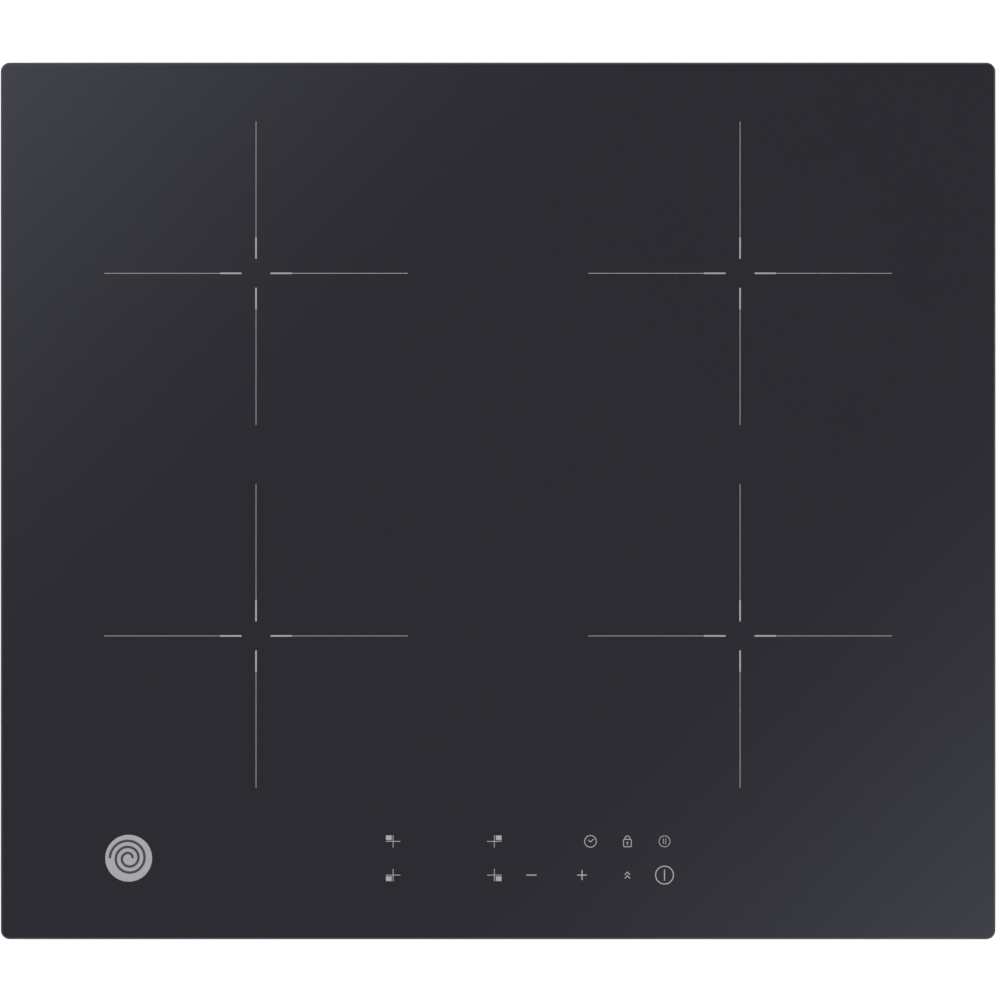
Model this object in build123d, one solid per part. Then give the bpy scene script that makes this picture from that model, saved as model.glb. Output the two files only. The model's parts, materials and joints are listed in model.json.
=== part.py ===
from build123d import *

import os
from math import cos, pi, radians, sin, sqrt

# Built-in induction hob with four cooking zones and touch controls.
# Units are millimetres. The origin is the centre of the hob on the worktop's upper surface:
# +X is to the cook's right, +Y away from the cook, +Z up. The glass lies above z = 0 and
# everything below z = 0 hangs in the worktop's cut-out.

# ---------------------------------------------------------------- driving dimensions

GLASS_WIDTH = 590.0
GLASS_DEPTH = 520.0
GLASS_THICKNESS = 4.0
GLASS_CORNER_RADIUS = 5.5
GLASS_TOP_CHAMFER = 0.8
GLASS_BOTTOM_CHAMFER = 0.4
PRINT_DEPTH = 0.05

SEAL_THICKNESS = 1.5
SEAL_WIDTH = 9.0
SEAL_INSET = 2.0
GLASS_BOTTOM = SEAL_THICKNESS
GLASS_TOP = GLASS_BOTTOM + GLASS_THICKNESS

SHEET = 1.0
FRAME_WIDTH = 552.0
FRAME_DEPTH = 480.0
FRAME_CORNER_RADIUS = 4.0
FRAME_TOP = 0.5
FRAME_BOTTOM = -24.0
TOP_FLANGE = 11.0
BOTTOM_FLANGE = 28.0
BOND_WIDTH = 8.0

TRAY_WIDTH = 500.0
TRAY_DEPTH = 428.0
TRAY_CORNER_RADIUS = 8.0
TRAY_BOTTOM = -51.5
TRAY_FLANGE = 8.0
TRAY_TOP = FRAME_BOTTOM
TRAY_FLOOR = TRAY_BOTTOM + SHEET

ZONE_X = 143.5
ZONE_REAR_Y = 135.0
ZONE_FRONT_Y = -80.0
ZONE_RADIUS = 90.0
ZONES = {
    "rear_left": (-ZONE_X, ZONE_REAR_Y),
    "rear_right": (ZONE_X, ZONE_REAR_Y),
    "front_left": (-ZONE_X, ZONE_FRONT_Y),
    "front_right": (ZONE_X, ZONE_FRONT_Y),
}

# ---------------------------------------------------------------- printed markings

MARK_GAP = 8.6
MARK_THICK_END = 21.3
MARK_THICK_LINE = 0.92
MARK_THIN_LINE = 0.34

KEY_ROW_REAR = -201.8
KEY_ROW_FRONT = -221.8
SELECTOR_LEFT_X = -62.2
SELECTOR_RIGHT_X = -2.2
MINUS_X = 19.8
PLUS_X = 49.8
TIMER_X = 54.8
LOCK_X = 76.7
POWER_X = 98.7
ICON_LINE = 0.5
SIGN_LINE = 0.65
EMBLEM_X = -219.0
EMBLEM_Y = -211.8
EMBLEM_RADIUS = 13.9

# ---------------------------------------------------------------- coil assemblies

MICA_RADIUS = 88.0
MICA_THICKNESS = 0.5
MICA_TOP = GLASS_BOTTOM - 0.1
MICA_BOTTOM = MICA_TOP - MICA_THICKNESS
LITZ_RADIUS = 1.5
LITZ_PITCH = 3.4
COIL_INNER_RADIUS = 21.0
COIL_HALF_TURNS = 36
COIL_OUTER_RADIUS = COIL_INNER_RADIUS + COIL_HALF_TURNS * LITZ_PITCH / 2
COIL_Z = MICA_BOTTOM - 0.1 - LITZ_RADIUS
LEAD_BEND = 4.0
LEAD_END = -18.0
FORMER_TOP = COIL_Z - LITZ_RADIUS - 0.1
FORMER_PLATE = 1.7
FORMER_RADIUS = 88.0
FORMER_BOTTOM = -9.2
FERRITE_LENGTH = 52.0
FERRITE_WIDTH = 15.0
FERRITE_THICKNESS = 4.8
FERRITE_RADIUS = 52.0
FERRITE_COUNT = 8
FERRITE_GAP = 0.2
POCKET_WALL = 1.8
LUG_RADIUS = 95.0
LUG_EYE = 7.0
LUG_THICKNESS = 3.0
GUIDE_RADIUS = 2.5
GUIDE_BORE = 2.6
SENSOR_RADIUS = 5.0

PLATE_THICKNESS = 1.2
PLATE_BOTTOM = FRAME_BOTTOM + SHEET
PLATE_TOP = PLATE_BOTTOM + PLATE_THICKNESS
PLATE_INNER_X = 3.0
PLATE_OUTER_X = 262.0
PLATE_FRONT_Y = -168.0
PLATE_REAR_Y = 224.0

# ---------------------------------------------------------------- electronics and cooling

PCB_THICKNESS = 1.6
BOARD_BOTTOM = TRAY_FLOOR + 4.0
BOARD_TOP = BOARD_BOTTOM + PCB_THICKNESS
BOARD_X = (20.0, 236.0)
BOARD_Y = (-150.0, 92.0)
HEATSINK_X = (45.0, 95.0)
HEATSINK_Y = (-140.0, 60.0)
HEATSINK_TOP = -26.5
HEATSINK_FINS = 9
FAN_X = 89.0
FAN_Y = 150.0
FAN_HOUSING_RADIUS = 44.0
FAN_WALL = 1.8
FAN_TOP = -27.5
FAN_BOTTOM = TRAY_FLOOR + 0.1
ROTOR_RADIUS = 36.0
ROTOR_BLADES = 28
ROTOR_BOTTOM = -48.5
ROTOR_TOP = -35.0
FAN_PIN = 1.5
FAN_BORE = 1.55
INLET_RADIUS = 31.0

CONTROL_X = (-72.0, 110.0)
CONTROL_Y = (-226.4, -190.0)
CONTROL_TOP = -7.4
CONTROL_WALL = 1.8
RIBBON_X = 42.0
RIBBON_WIDTH = 10.0
RIBBON_THICKNESS = 0.6
RIBBON_RISE_Y = -205.0

# ---------------------------------------------------------------- fixings and mains connection

SCREW_RADIUS = 1.45
PILOT_RADIUS = 1.5
CLEARANCE_RADIUS = 1.8
TRAY_SCREW_LINE = 4.2
BRACKET_X = 267.0
BRACKET_Y = 150.0
BRACKET_WIDTH = 14.0
BRACKET_SHEET = 1.8
BRACKET_TOP = FRAME_BOTTOM - 0.2
BRACKET_LEG = 11.0
BRACKET_REACH = 28.0
WORKTOP = 38.0
PIVOT_RADIUS = 2.0
PIVOT_BORE = 2.1

BOX_X = (140.0, 225.0)
BOX_Y = (214.3, 238.0)
BOX_Z = (-49.5, -25.2)
BOX_WALL = 1.8
COVER_X = (165.0, 221.0)
HINGE_Y = 238.4
HINGE_Z = -47.4
HINGE_PIN = 1.0
HINGE_BORE = 1.08
CABLE_X = 151.0
CABLE_Z = -37.0
CABLE_BORE = 5.5
BLOCK_X = (169.0, 217.0)
POLES = 5
WIRE_RADIUS = 1.2


# ---------------------------------------------------------------- helpers


def slab(outline, low, high):
    """A flat outline in XY as a solid between two heights."""
    return extrude(Pos(0, 0, low) * outline, amount=high - low)


def cuboid(x, y, z):
    """A box from its (low, high) limits on each axis."""
    size = [high - low for low, high in (x, y, z)]
    centre = [(high + low) / 2 for low, high in (x, y, z)]
    return Pos(*centre) * Box(*size)


def post(x, y, low, high, radius):
    """A vertical cylinder."""
    return Pos(x, y, (low + high) / 2) * Cylinder(radius, high - low)


def ring(outer, inner):
    """A flat annulus."""
    return Circle(outer) - Circle(inner)


def inset_rectangle(width, depth, inset, radius):
    """A rounded rectangle that lies the inset's distance inside a width and a depth."""
    return RectangleRounded(width - 2 * inset, depth - 2 * inset, radius)


def frame_outline(width, depth, radius, border):
    """A rectangular ring with rounded corners."""
    inner_radius = max(radius - border, 1.0)
    return RectangleRounded(width, depth, radius) - inset_rectangle(width, depth, border, inner_radius)


def both_sides(shape):
    """A shape on the right and its mirror image on the left."""
    return [shape, mirror(shape, about=Plane.YZ)]


def spiral(first_radius, pitch, half_turns):
    """A flat spiral of half circles about two centres, so that each turn is one pitch larger."""
    arcs = []
    for n in range(half_turns):
        centre_x = pitch / 2 if n % 2 else 0.0
        arcs.append(CenterArc((centre_x, 0), first_radius + n * pitch / 2, 180 * (n % 2), 180))
    return arcs


def swept_wire(path, radius):
    """A round wire along a path."""
    return sweep(Plane(path @ 0, z_dir=path % 0) * Circle(radius), path=path)


def coil_spring(x, y, low, high, radius, wire, turns):
    """An open-ended helical spring standing between two heights."""
    end_gap = wire + 0.05
    height = high - low - 2 * end_gap
    helix = Helix(pitch=height / turns, height=height, radius=radius)
    section = Plane(helix @ 0, z_dir=helix % 0) * Circle(wire)
    return Pos(x, y, low + end_gap) * sweep(section, path=helix, is_frenet=True)


def screw(x, y, head_z, tip_z, head_radius, head_height, shank=SCREW_RADIUS):
    """A pan-head screw whose head bears at head_z and whose shank runs to tip_z."""
    up = 1 if tip_z > head_z else -1
    head_low, head_high = sorted((head_z, head_z - up * head_height))
    shank_low, shank_high = sorted((head_z, tip_z))
    crown = head_low if up > 0 else head_high
    head = post(x, y, head_low, head_high, head_radius)
    head = fillet(head.edges().group_by(Axis.Z)[0 if up > 0 else -1], head_height * 0.4)
    recess_depth = head_height * 0.6
    recess = [
        Pos(x, y, crown) * Box(long, across, 2 * recess_depth)
        for long, across in ((head_radius * 1.1, 0.7), (0.7, head_radius * 1.1))
    ]
    return head + post(x, y, shank_low, shank_high, shank) - recess


# ---------------------------------------------------------------- glass, print and seal


def zone_mark():
    """Four radial lines around a cooking zone's centre, thick near the centre and thin beyond."""
    thick_length = MARK_THICK_END - MARK_GAP
    thin_length = ZONE_RADIUS - MARK_THICK_END
    arm = Pos(MARK_GAP + thick_length / 2, 0) * Rectangle(thick_length, MARK_THICK_LINE)
    arm += Pos(MARK_THICK_END + thin_length / 2, 0) * Rectangle(thin_length, MARK_THIN_LINE)
    return [Rot(0, 0, 90 * quarter) * arm for quarter in range(4)]


def selector_icon(side_x, side_y):
    """A small cross with one filled quadrant, which names a cooking zone."""
    half_width, half_height = 4.3, 3.65
    line, square_width, square_height = 0.42, 3.4, 2.8
    square_x = side_x * (half_width - square_width / 2)
    square_y = side_y * (half_height - square_height / 2 - 0.1)
    cross = Rectangle(2 * half_width, line) + Rectangle(line, 2 * half_height)
    return cross + Pos(square_x, square_y) * Rectangle(square_width, square_height)


def stroke(points, width=ICON_LINE):
    """A bent line of constant width."""
    return trace(Polyline(*points), width)


def plus_icon():
    return Rectangle(5.9, SIGN_LINE) + Rectangle(SIGN_LINE, 5.9)


def timer_icon():
    hands = stroke([(-1.3, 0.85), (0.0, -0.35), (1.95, 1.35)])
    return ring(3.7, 3.7 - ICON_LINE) + hands


def lock_icon():
    width, height = 5.1, 4.9
    body = RectangleRounded(width, height, 0.9) - inset_rectangle(width, height, ICON_LINE, 0.4)
    arch = ring(1.75, 1.75 - ICON_LINE) & (Pos(0, 0.85) * Rectangle(4, 2.3))
    shackle = Pos(0, height / 2 + 0.25) * arch
    key_hole = Pos(0, 0.3) * Circle(0.52) + Pos(0, -0.5) * Rectangle(0.4, 1.5)
    return Pos(0, -1.0) * (body + shackle + key_hole)


def pause_icon():
    line = 0.42
    bars = [Pos(x, 0) * Rectangle(line, 3.2) for x in (-0.7, 0.7)]
    return [ring(3.45, 3.45 - line), *bars]


def boost_icon():
    """Two upward chevrons."""
    chevron = stroke([(-1.5, -0.9), (0, 0.7), (1.5, -0.9)], 0.65)
    return [Pos(0, y) * chevron for y in (-1.1, 1.1)]


def power_icon():
    return [ring(5.6, 5.6 - SIGN_LINE), Rectangle(SIGN_LINE, 6.7)]


def emblem():
    """A plain disc with a spiral groove, a generic sign for an induction coil."""
    groove = trace(Curve() + spiral(2.2, 4.0, 5), 1.5)
    return Circle(EMBLEM_RADIUS) - groove


def print_outlines():
    """Every printed shape on the glass, in its place."""
    placed = []
    for x, y in ZONES.values():
        placed += [Pos(x, y) * arm for arm in zone_mark()]
    for x, side_x in ((SELECTOR_LEFT_X, -1), (SELECTOR_RIGHT_X, 1)):
        for y, side_y in ((KEY_ROW_REAR, 1), (KEY_ROW_FRONT, -1)):
            placed.append(Pos(x, y) * selector_icon(side_x, side_y))
    placed.append(Pos(MINUS_X, KEY_ROW_FRONT) * Rectangle(6.1, SIGN_LINE))
    placed.append(Pos(PLUS_X, KEY_ROW_FRONT) * plus_icon())
    placed.append(Pos(TIMER_X, KEY_ROW_REAR) * timer_icon())
    placed.append(Pos(LOCK_X, KEY_ROW_REAR) * lock_icon())
    placed += [Pos(POWER_X, KEY_ROW_REAR) * shape for shape in pause_icon()]
    placed += [Pos(LOCK_X, KEY_ROW_FRONT) * shape for shape in boost_icon()]
    placed += [Pos(POWER_X, KEY_ROW_FRONT) * shape for shape in power_icon()]
    placed.append(Pos(EMBLEM_X, EMBLEM_Y) * emblem())
    return placed


def printed_markings():
    """The enamel print, fired into the glass so that its face is flush."""
    return [
        solid
        for outline in print_outlines()
        for solid in slab(outline, GLASS_TOP - PRINT_DEPTH, GLASS_TOP).solids()
    ]


def glass_plate(markings):
    outline = RectangleRounded(GLASS_WIDTH, GLASS_DEPTH, GLASS_CORNER_RADIUS)
    plate = slab(outline, GLASS_BOTTOM, GLASS_TOP)
    plate = chamfer(plate.edges().group_by(Axis.Z)[-1], GLASS_TOP_CHAMFER)
    plate = chamfer(plate.edges().group_by(Axis.Z)[0], GLASS_BOTTOM_CHAMFER)
    return plate - markings


def worktop_seal():
    """The foam gasket on which the glass rests on the worktop."""
    width, depth = GLASS_WIDTH - 2 * SEAL_INSET, GLASS_DEPTH - 2 * SEAL_INSET
    return slab(frame_outline(width, depth, GLASS_CORNER_RADIUS, SEAL_WIDTH), 0, SEAL_THICKNESS)


def glass_bond():
    """The silicone bead between the frame's top flange and the glass."""
    width, depth = FRAME_WIDTH - 2 * SHEET, FRAME_DEPTH - 2 * SHEET
    return slab(frame_outline(width, depth, FRAME_CORNER_RADIUS, BOND_WIDTH), FRAME_TOP, GLASS_BOTTOM)


# ---------------------------------------------------------------- sheet-metal casing


def tray_screw_places():
    """Screw centres along the tray's flange: three on each side and three front and rear."""
    side_x = TRAY_WIDTH / 2 + TRAY_SCREW_LINE
    end_y = TRAY_DEPTH / 2 + TRAY_SCREW_LINE
    sides = [(x, y) for x in (-side_x, side_x) for y in (-190, 0, 190)]
    ends = [(x, y) for x in (-110, 0, 110) for y in (-end_y, end_y)]
    return sides + ends


def bracket_places():
    return {
        f"{end}_{side}": (BRACKET_X * sign_x, BRACKET_Y * sign_y)
        for end, sign_y in (("rear", 1), ("front", -1))
        for side, sign_x in (("left", -1), ("right", 1))
    }


def upper_frame():
    """The folded steel frame that carries the coils: walls with an inward flange above and below."""
    outer = RectangleRounded(FRAME_WIDTH, FRAME_DEPTH, FRAME_CORNER_RADIUS)
    inner = inset_rectangle(FRAME_WIDTH, FRAME_DEPTH, SHEET, FRAME_CORNER_RADIUS - SHEET)
    top_hole = Rectangle(FRAME_WIDTH - 2 * TOP_FLANGE, FRAME_DEPTH - 2 * TOP_FLANGE)
    bottom_hole = inset_rectangle(FRAME_WIDTH, FRAME_DEPTH, BOTTOM_FLANGE, 6)
    frame = slab(outer, FRAME_BOTTOM, FRAME_TOP)
    frame = fillet(frame.edges().group_by(Axis.Z)[0], SHEET * 0.8)
    cuts = [
        slab(inner, FRAME_BOTTOM + SHEET, FRAME_TOP - SHEET),
        slab(top_hole, FRAME_TOP - 2 * SHEET, FRAME_TOP + SHEET),
        slab(bottom_hole, FRAME_BOTTOM - SHEET, FRAME_BOTTOM + 2 * SHEET),
    ]
    low, high = FRAME_BOTTOM - SHEET, FRAME_BOTTOM + 2 * SHEET
    cuts += [post(x, y, low, high, PILOT_RADIUS) for x, y in tray_screw_places()]
    cuts += [post(x, y, low, high, PIVOT_RADIUS + 0.05) for x, y in bracket_places().values()]
    return frame - cuts


def wall_slots():
    """Vertical air slots through the tray's walls, in groups."""
    slot = Rot(90, 0, 0) * extrude(Rot(0, 0, 90) * SlotOverall(15, 3.6), amount=6, both=True)
    height = -37.0
    step = 8.6
    front = [Pos(x, -TRAY_DEPTH / 2, height) * slot for x in slot_run(-215, 215, step)]
    rear = [Pos(x, TRAY_DEPTH / 2, height) * slot for x in slot_run(-215, 112, step)]
    side = [
        Pos(x, y, height) * Rot(0, 0, 90) * slot
        for x in (-TRAY_WIDTH / 2, TRAY_WIDTH / 2)
        for y in slot_run(-120, 120, step)
    ]
    return front + rear + side


def slot_run(first, last, step):
    """Slot centres in whole groups of eight, centred between two limits, with webs between the groups."""
    group, web = 8, 3
    pitch = (group - 1 + web) * step
    groups = int((last - first + web * step) / pitch)
    start = (first + last - groups * pitch + web * step) / 2
    return [start + k * pitch + n * step for k in range(groups) for n in range(group)]


def fan_grille(centre_x):
    """Rows of slots that fill the circle below a fan's inlet, split by a web across the middle."""
    slots = []
    row_step, slot_width, web = 6.0, 3.4, 3.0
    for row in range(-4, 5):
        y = row * row_step
        half_chord = sqrt(INLET_RADIUS**2 - y**2)
        length = half_chord - web
        if length > 2 * slot_width:
            slots += [
                Pos(centre_x + side * (web + length) / 2 + side * web / 2, FAN_Y + y)
                * SlotOverall(length, slot_width)
                for side in (-1, 1)
            ]
    return [slab(outline, TRAY_BOTTOM - SHEET, TRAY_FLOOR + SHEET) for outline in slots]


def floor_slots():
    """Air slots in the tray's floor under the power boards."""
    outline = SlotOverall(34, 3.4)
    return [
        Pos(side * x, y, 0) * slab(outline, TRAY_BOTTOM - SHEET, TRAY_FLOOR + SHEET)
        for side in (-1, 1)
        for x in (130, 175, 220)
        for y in slot_run(-140, -86, 7.5)
    ]


def stiffening_beads():
    """Long pressed beads across the tray's floor: their outlines, sunk below and raised inside."""
    bead = SlotOverall(330, 9)
    return [Pos(0, y) * bead for y in (-178, -163)] + [Pos(0, 20) * Rot(0, 0, 90) * SlotOverall(250, 9)]


def board_standoffs():
    inset = 8.0
    return [
        (side * x, y)
        for side in (-1, 1)
        for x in (BOARD_X[0] + inset, BOARD_X[1] - inset)
        for y in (BOARD_Y[0] + inset, BOARD_Y[1] - inset)
    ]


def fan_lugs():
    """Fixing points around each fan housing, away from its outlet."""
    reach = FAN_HOUSING_RADIUS + 4
    return [
        (side * (FAN_X + reach * cos(radians(angle))), FAN_Y + reach * sin(radians(angle)))
        for side in (-1, 1)
        for angle in (-20, 70, 150)
    ]


def base_tray():
    """The lower steel tray that holds the electronics, with its air openings."""
    tub = slab(RectangleRounded(TRAY_WIDTH, TRAY_DEPTH, TRAY_CORNER_RADIUS), TRAY_BOTTOM, TRAY_TOP)
    tub = fillet(tub.edges().group_by(Axis.Z)[0], 2.6)
    hollow_outline = inset_rectangle(TRAY_WIDTH, TRAY_DEPTH, SHEET, TRAY_CORNER_RADIUS - SHEET)
    hollow = slab(hollow_outline, TRAY_FLOOR, TRAY_TOP + SHEET)
    hollow = fillet(hollow.edges().group_by(Axis.Z)[0], 1.6)
    flange_radius = TRAY_CORNER_RADIUS + TRAY_FLANGE / 2
    flange_outline = inset_rectangle(TRAY_WIDTH, TRAY_DEPTH, -TRAY_FLANGE, flange_radius)
    flange = slab(flange_outline, TRAY_TOP - SHEET, TRAY_TOP)
    tray = tub + flange - hollow
    bosses = [post(x, y, TRAY_FLOOR, BOARD_BOTTOM, 3.6) for x, y in board_standoffs()]
    pressing = 0.6
    beads = [slab(outline, TRAY_FLOOR, TRAY_FLOOR + pressing) for outline in stiffening_beads()]
    tray = tray + bosses + beads
    cuts = [slab(outline, TRAY_BOTTOM - SHEET, TRAY_BOTTOM + pressing) for outline in stiffening_beads()]
    cuts += wall_slots() + fan_grille(-FAN_X) + fan_grille(FAN_X) + floor_slots()
    above, below = TRAY_TOP + SHEET, TRAY_BOTTOM - SHEET
    cuts += [post(x, y, TRAY_TOP - 2 * SHEET, above, CLEARANCE_RADIUS) for x, y in tray_screw_places()]
    cuts += [post(x, y, below, BOARD_BOTTOM + SHEET, PILOT_RADIUS) for x, y in board_standoffs()]
    cuts += [post(x, y, below, TRAY_FLOOR + SHEET, PILOT_RADIUS) for x, y in fan_lugs()]
    cuts.append(Pos(185, TRAY_DEPTH / 2, CABLE_Z) * Rot(90, 0, 0) * Cylinder(5.0, 8 * SHEET))
    return tray - cuts


def tray_screws():
    """Screws up through the tray's flange, the frame's flange and the coil plates."""
    return [screw(x, y, TRAY_TOP - SHEET, -18.5, 3.2, 2.0) for x, y in tray_screw_places()]


# ---------------------------------------------------------------- coil plates and coil assemblies


def lug_angles(zone):
    """Three fixing lugs, one of them pointing at the middle of the hob's side."""
    return (30, 150, 270) if zone.startswith("rear") else (-30, -150, 90)


def lug_places(zone):
    x, y = ZONES[zone]
    return [
        (x + LUG_RADIUS * cos(radians(angle)), y + LUG_RADIUS * sin(radians(angle)))
        for angle in lug_angles(zone)
    ]


def plate_hole(x, y, radius):
    """The cut of a round hole through a coil plate."""
    return post(x, y, PLATE_BOTTOM - 1, PLATE_TOP + 1, radius)


def lead_hole(zone):
    """The hole below the place where a winding's outer end bends down."""
    x, y = ZONES[zone]
    return plate_hole(x + COIL_OUTER_RADIUS, y + LEAD_BEND, 5)


def coil_plate_right():
    """The aluminium shield plate under two coils, with a front leg that stands on the tray's floor."""
    x, y = (PLATE_INNER_X, PLATE_OUTER_X), (PLATE_FRONT_Y, PLATE_REAR_Y)
    plate = cuboid(x, y, (PLATE_BOTTOM, PLATE_TOP))
    plate = fillet(plate.edges().filter_by(Axis.Z), 5)
    lip = cuboid((x[0], x[0] + PLATE_THICKNESS), (-120, 180), (PLATE_BOTTOM - 8, PLATE_BOTTOM + 0.5))
    leg_y = (y[0], y[0] + PLATE_THICKNESS)
    leg = cuboid((24, 232), leg_y, (TRAY_FLOOR + 0.7, PLATE_BOTTOM + 0.5))
    cuts = [cuboid((left, left + 52), (y[0] - 1, y[0] + 3), (-45, -28)) for left in (34, 102, 170)]
    cuts += [plate_hole(px, py, CLEARANCE_RADIUS) for px, py in tray_screw_places()]
    air_ring, air_holes = 58.0, 8
    for zone in ("rear_right", "front_right"):
        cx, cy = ZONES[zone]
        cuts.append(plate_hole(cx, cy, 28))
        cuts.append(lead_hole(zone))
        cuts += [plate_hole(lx, ly, GUIDE_RADIUS) for lx, ly in lug_places(zone)]
        for k in range(air_holes):
            angle = 2 * pi * k / air_holes
            cuts.append(plate_hole(cx + air_ring * cos(angle), cy + air_ring * sin(angle), 9))
    return plate + lip + leg - cuts


def coil_plate_left():
    """The right-hand plate's mirror image, apart from the holes for the outer leads."""
    plate = mirror(coil_plate_right(), about=Plane.YZ)
    return plate - [lead_hole(zone) for zone in ("rear_left", "front_left")]


def guide_screws():
    """Shouldered screws on which the coil formers slide: a post with a retaining head."""
    retaining_z = FORMER_BOTTOM + LUG_THICKNESS
    screws = []
    for zone in ZONES:
        for x, y in lug_places(zone):
            shoulder = post(x, y, PLATE_BOTTOM, retaining_z + 0.1, GUIDE_RADIUS)
            head = post(x, y, retaining_z + 0.1, retaining_z + 2.0, 4.4)
            nut = Pos(x, y, PLATE_BOTTOM - 1.1) * extrude(RegularPolygon(4, 6), amount=1.1)
            slot = cuboid((x - 3.2, x + 3.2), (y - 0.5, y + 0.5), (retaining_z + 1.1, retaining_z + 3))
            screws.append(shoulder + head + nut - slot)
    return screws


def radial_places(count, radius):
    """Places spread evenly round a circle, each facing outwards."""
    return [Rot(0, 0, 360 * k / count + 180 / count) * Pos(radius, 0) for k in range(count)]


def coil_former(zone):
    """The moulded carrier of one coil: hub, spokes with ferrite pockets, rim and three sliding lugs."""
    x, y = ZONES[zone]
    spoke_width = FERRITE_WIDTH + 2 * (FERRITE_GAP + POCKET_WALL)
    spoke_length = FERRITE_LENGTH + 2 * (FERRITE_GAP + POCKET_WALL)
    plate_bottom = FORMER_TOP - FORMER_PLATE
    places = radial_places(FERRITE_COUNT, FERRITE_RADIUS)
    spokes = [place * Rectangle(spoke_length + 6, spoke_width) for place in places]
    web = Sketch() + [ring(28, SENSOR_RADIUS + 0.1), ring(FORMER_RADIUS, 78), *spokes]
    body = slab(web, plate_bottom, FORMER_TOP)
    body += slab(ring(FORMER_RADIUS, FORMER_RADIUS - 2), FORMER_BOTTOM, FORMER_TOP)
    body += slab(ring(SENSOR_RADIUS + 2.1, SENSOR_RADIUS + 0.1), FORMER_BOTTOM, FORMER_TOP)
    pocket = Rectangle(spoke_length, spoke_width) - Rectangle(
        spoke_length - 2 * POCKET_WALL, spoke_width - 2 * POCKET_WALL
    )
    body += [slab(place * pocket, FORMER_BOTTOM, plate_bottom) for place in places]
    for angle in lug_angles(zone):
        arm = Pos(FORMER_RADIUS + 2, 0) * Rectangle(10, 2 * LUG_EYE) + Pos(LUG_RADIUS, 0) * Circle(LUG_EYE)
        body += Rot(0, 0, angle) * slab(arm, FORMER_BOTTOM, FORMER_BOTTOM + LUG_THICKNESS)
    bore = post(LUG_RADIUS, 0, FORMER_BOTTOM - 1, FORMER_BOTTOM + LUG_THICKNESS + 1, GUIDE_BORE)
    bores = [Rot(0, 0, angle) * bore for angle in lug_angles(zone)]
    through = (FORMER_BOTTOM - 1, FORMER_TOP + 1)
    reach = LITZ_RADIUS + 0.6
    lead_holes = [
        post(COIL_INNER_RADIUS, -LEAD_BEND, *through, reach),
        cuboid((COIL_INNER_RADIUS - reach, COIL_INNER_RADIUS + reach), (-LEAD_BEND, 2), through),
        cuboid((COIL_OUTER_RADIUS - reach, COIL_OUTER_RADIUS + reach), (-2, LEAD_BEND + reach), through),
    ]
    return Pos(x, y) * (body - bores - lead_holes)


def coil_winding(zone):
    """The flat litz spiral, whose two ends bend down through the former."""
    x, y = ZONES[zone]
    turn_down = COIL_Z - LEAD_BEND
    flat = [Pos(0, 0, COIL_Z) * arc for arc in spiral(COIL_INNER_RADIUS, LITZ_PITCH, COIL_HALF_TURNS)]
    inner_x, outer_x = COIL_INNER_RADIUS, COIL_OUTER_RADIUS
    rise = Line((inner_x, -LEAD_BEND, LEAD_END), (inner_x, -LEAD_BEND, turn_down))
    inner_bend = TangentArc((inner_x, -LEAD_BEND, turn_down), (inner_x, 0, COIL_Z), tangent=(0, 0, 1))
    outer_bend = TangentArc((outer_x, 0, COIL_Z), (outer_x, LEAD_BEND, turn_down), tangent=(0, 1, 0))
    fall = Line((outer_x, LEAD_BEND, turn_down), (outer_x, LEAD_BEND, LEAD_END))
    path = Wire([piece.edges()[0] for piece in (rise, inner_bend, *flat, outer_bend, fall)])
    return Pos(x, y) * swept_wire(path, LITZ_RADIUS)


def ferrite_bars(zone):
    x, y = ZONES[zone]
    top = FORMER_TOP - FORMER_PLATE - 0.05
    bar = slab(Rectangle(FERRITE_LENGTH, FERRITE_WIDTH), top - FERRITE_THICKNESS, top)
    bar = chamfer(bar.edges().filter_by(Axis.Z), 0.8)
    places = radial_places(FERRITE_COUNT, FERRITE_RADIUS)
    return [Pos(x, y) * place * bar for place in places]


def mica_sheet(zone):
    x, y = ZONES[zone]
    return Pos(x, y) * slab(ring(MICA_RADIUS, SENSOR_RADIUS + 0.6), MICA_BOTTOM, MICA_TOP)


def temperature_sensor(zone):
    """The sensor capsule that touches the glass at the coil's centre, with a collar on the former."""
    x, y = ZONES[zone]
    capsule = post(x, y, FORMER_BOTTOM - 2, GLASS_BOTTOM - 0.05, SENSOR_RADIUS)
    capsule = fillet(capsule.edges().group_by(Axis.Z)[-1], 1.2)
    return capsule + post(x, y, FORMER_TOP + 0.05, FORMER_TOP + 1.4, SENSOR_RADIUS + 2)


def coil_springs(zone):
    """The three springs, round the guide screws, that press one coil against the glass."""
    return [coil_spring(x, y, PLATE_TOP, FORMER_BOTTOM, 4.0, 0.45, turns=5) for x, y in lug_places(zone)]


# ---------------------------------------------------------------- power electronics


def power_board():
    board = cuboid(BOARD_X, BOARD_Y, (BOARD_BOTTOM, BOARD_TOP))
    holes = [
        post(x, y, BOARD_BOTTOM - 1, BOARD_TOP + 1, CLEARANCE_RADIUS) for x, y in board_standoffs() if x > 0
    ]
    return board - holes


def heatsink():
    """An aluminium extrusion with upright fins along the air stream."""
    base = 3.0
    fin = 1.6
    left, right = HEATSINK_X
    step = (right - left - fin) / (HEATSINK_FINS - 1)
    body = cuboid(HEATSINK_X, HEATSINK_Y, (BOARD_TOP, BOARD_TOP + base))
    fins = [
        cuboid((left + k * step, left + k * step + fin), HEATSINK_Y, (BOARD_TOP + base, HEATSINK_TOP))
        for k in range(HEATSINK_FINS)
    ]
    return body + fins


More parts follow.
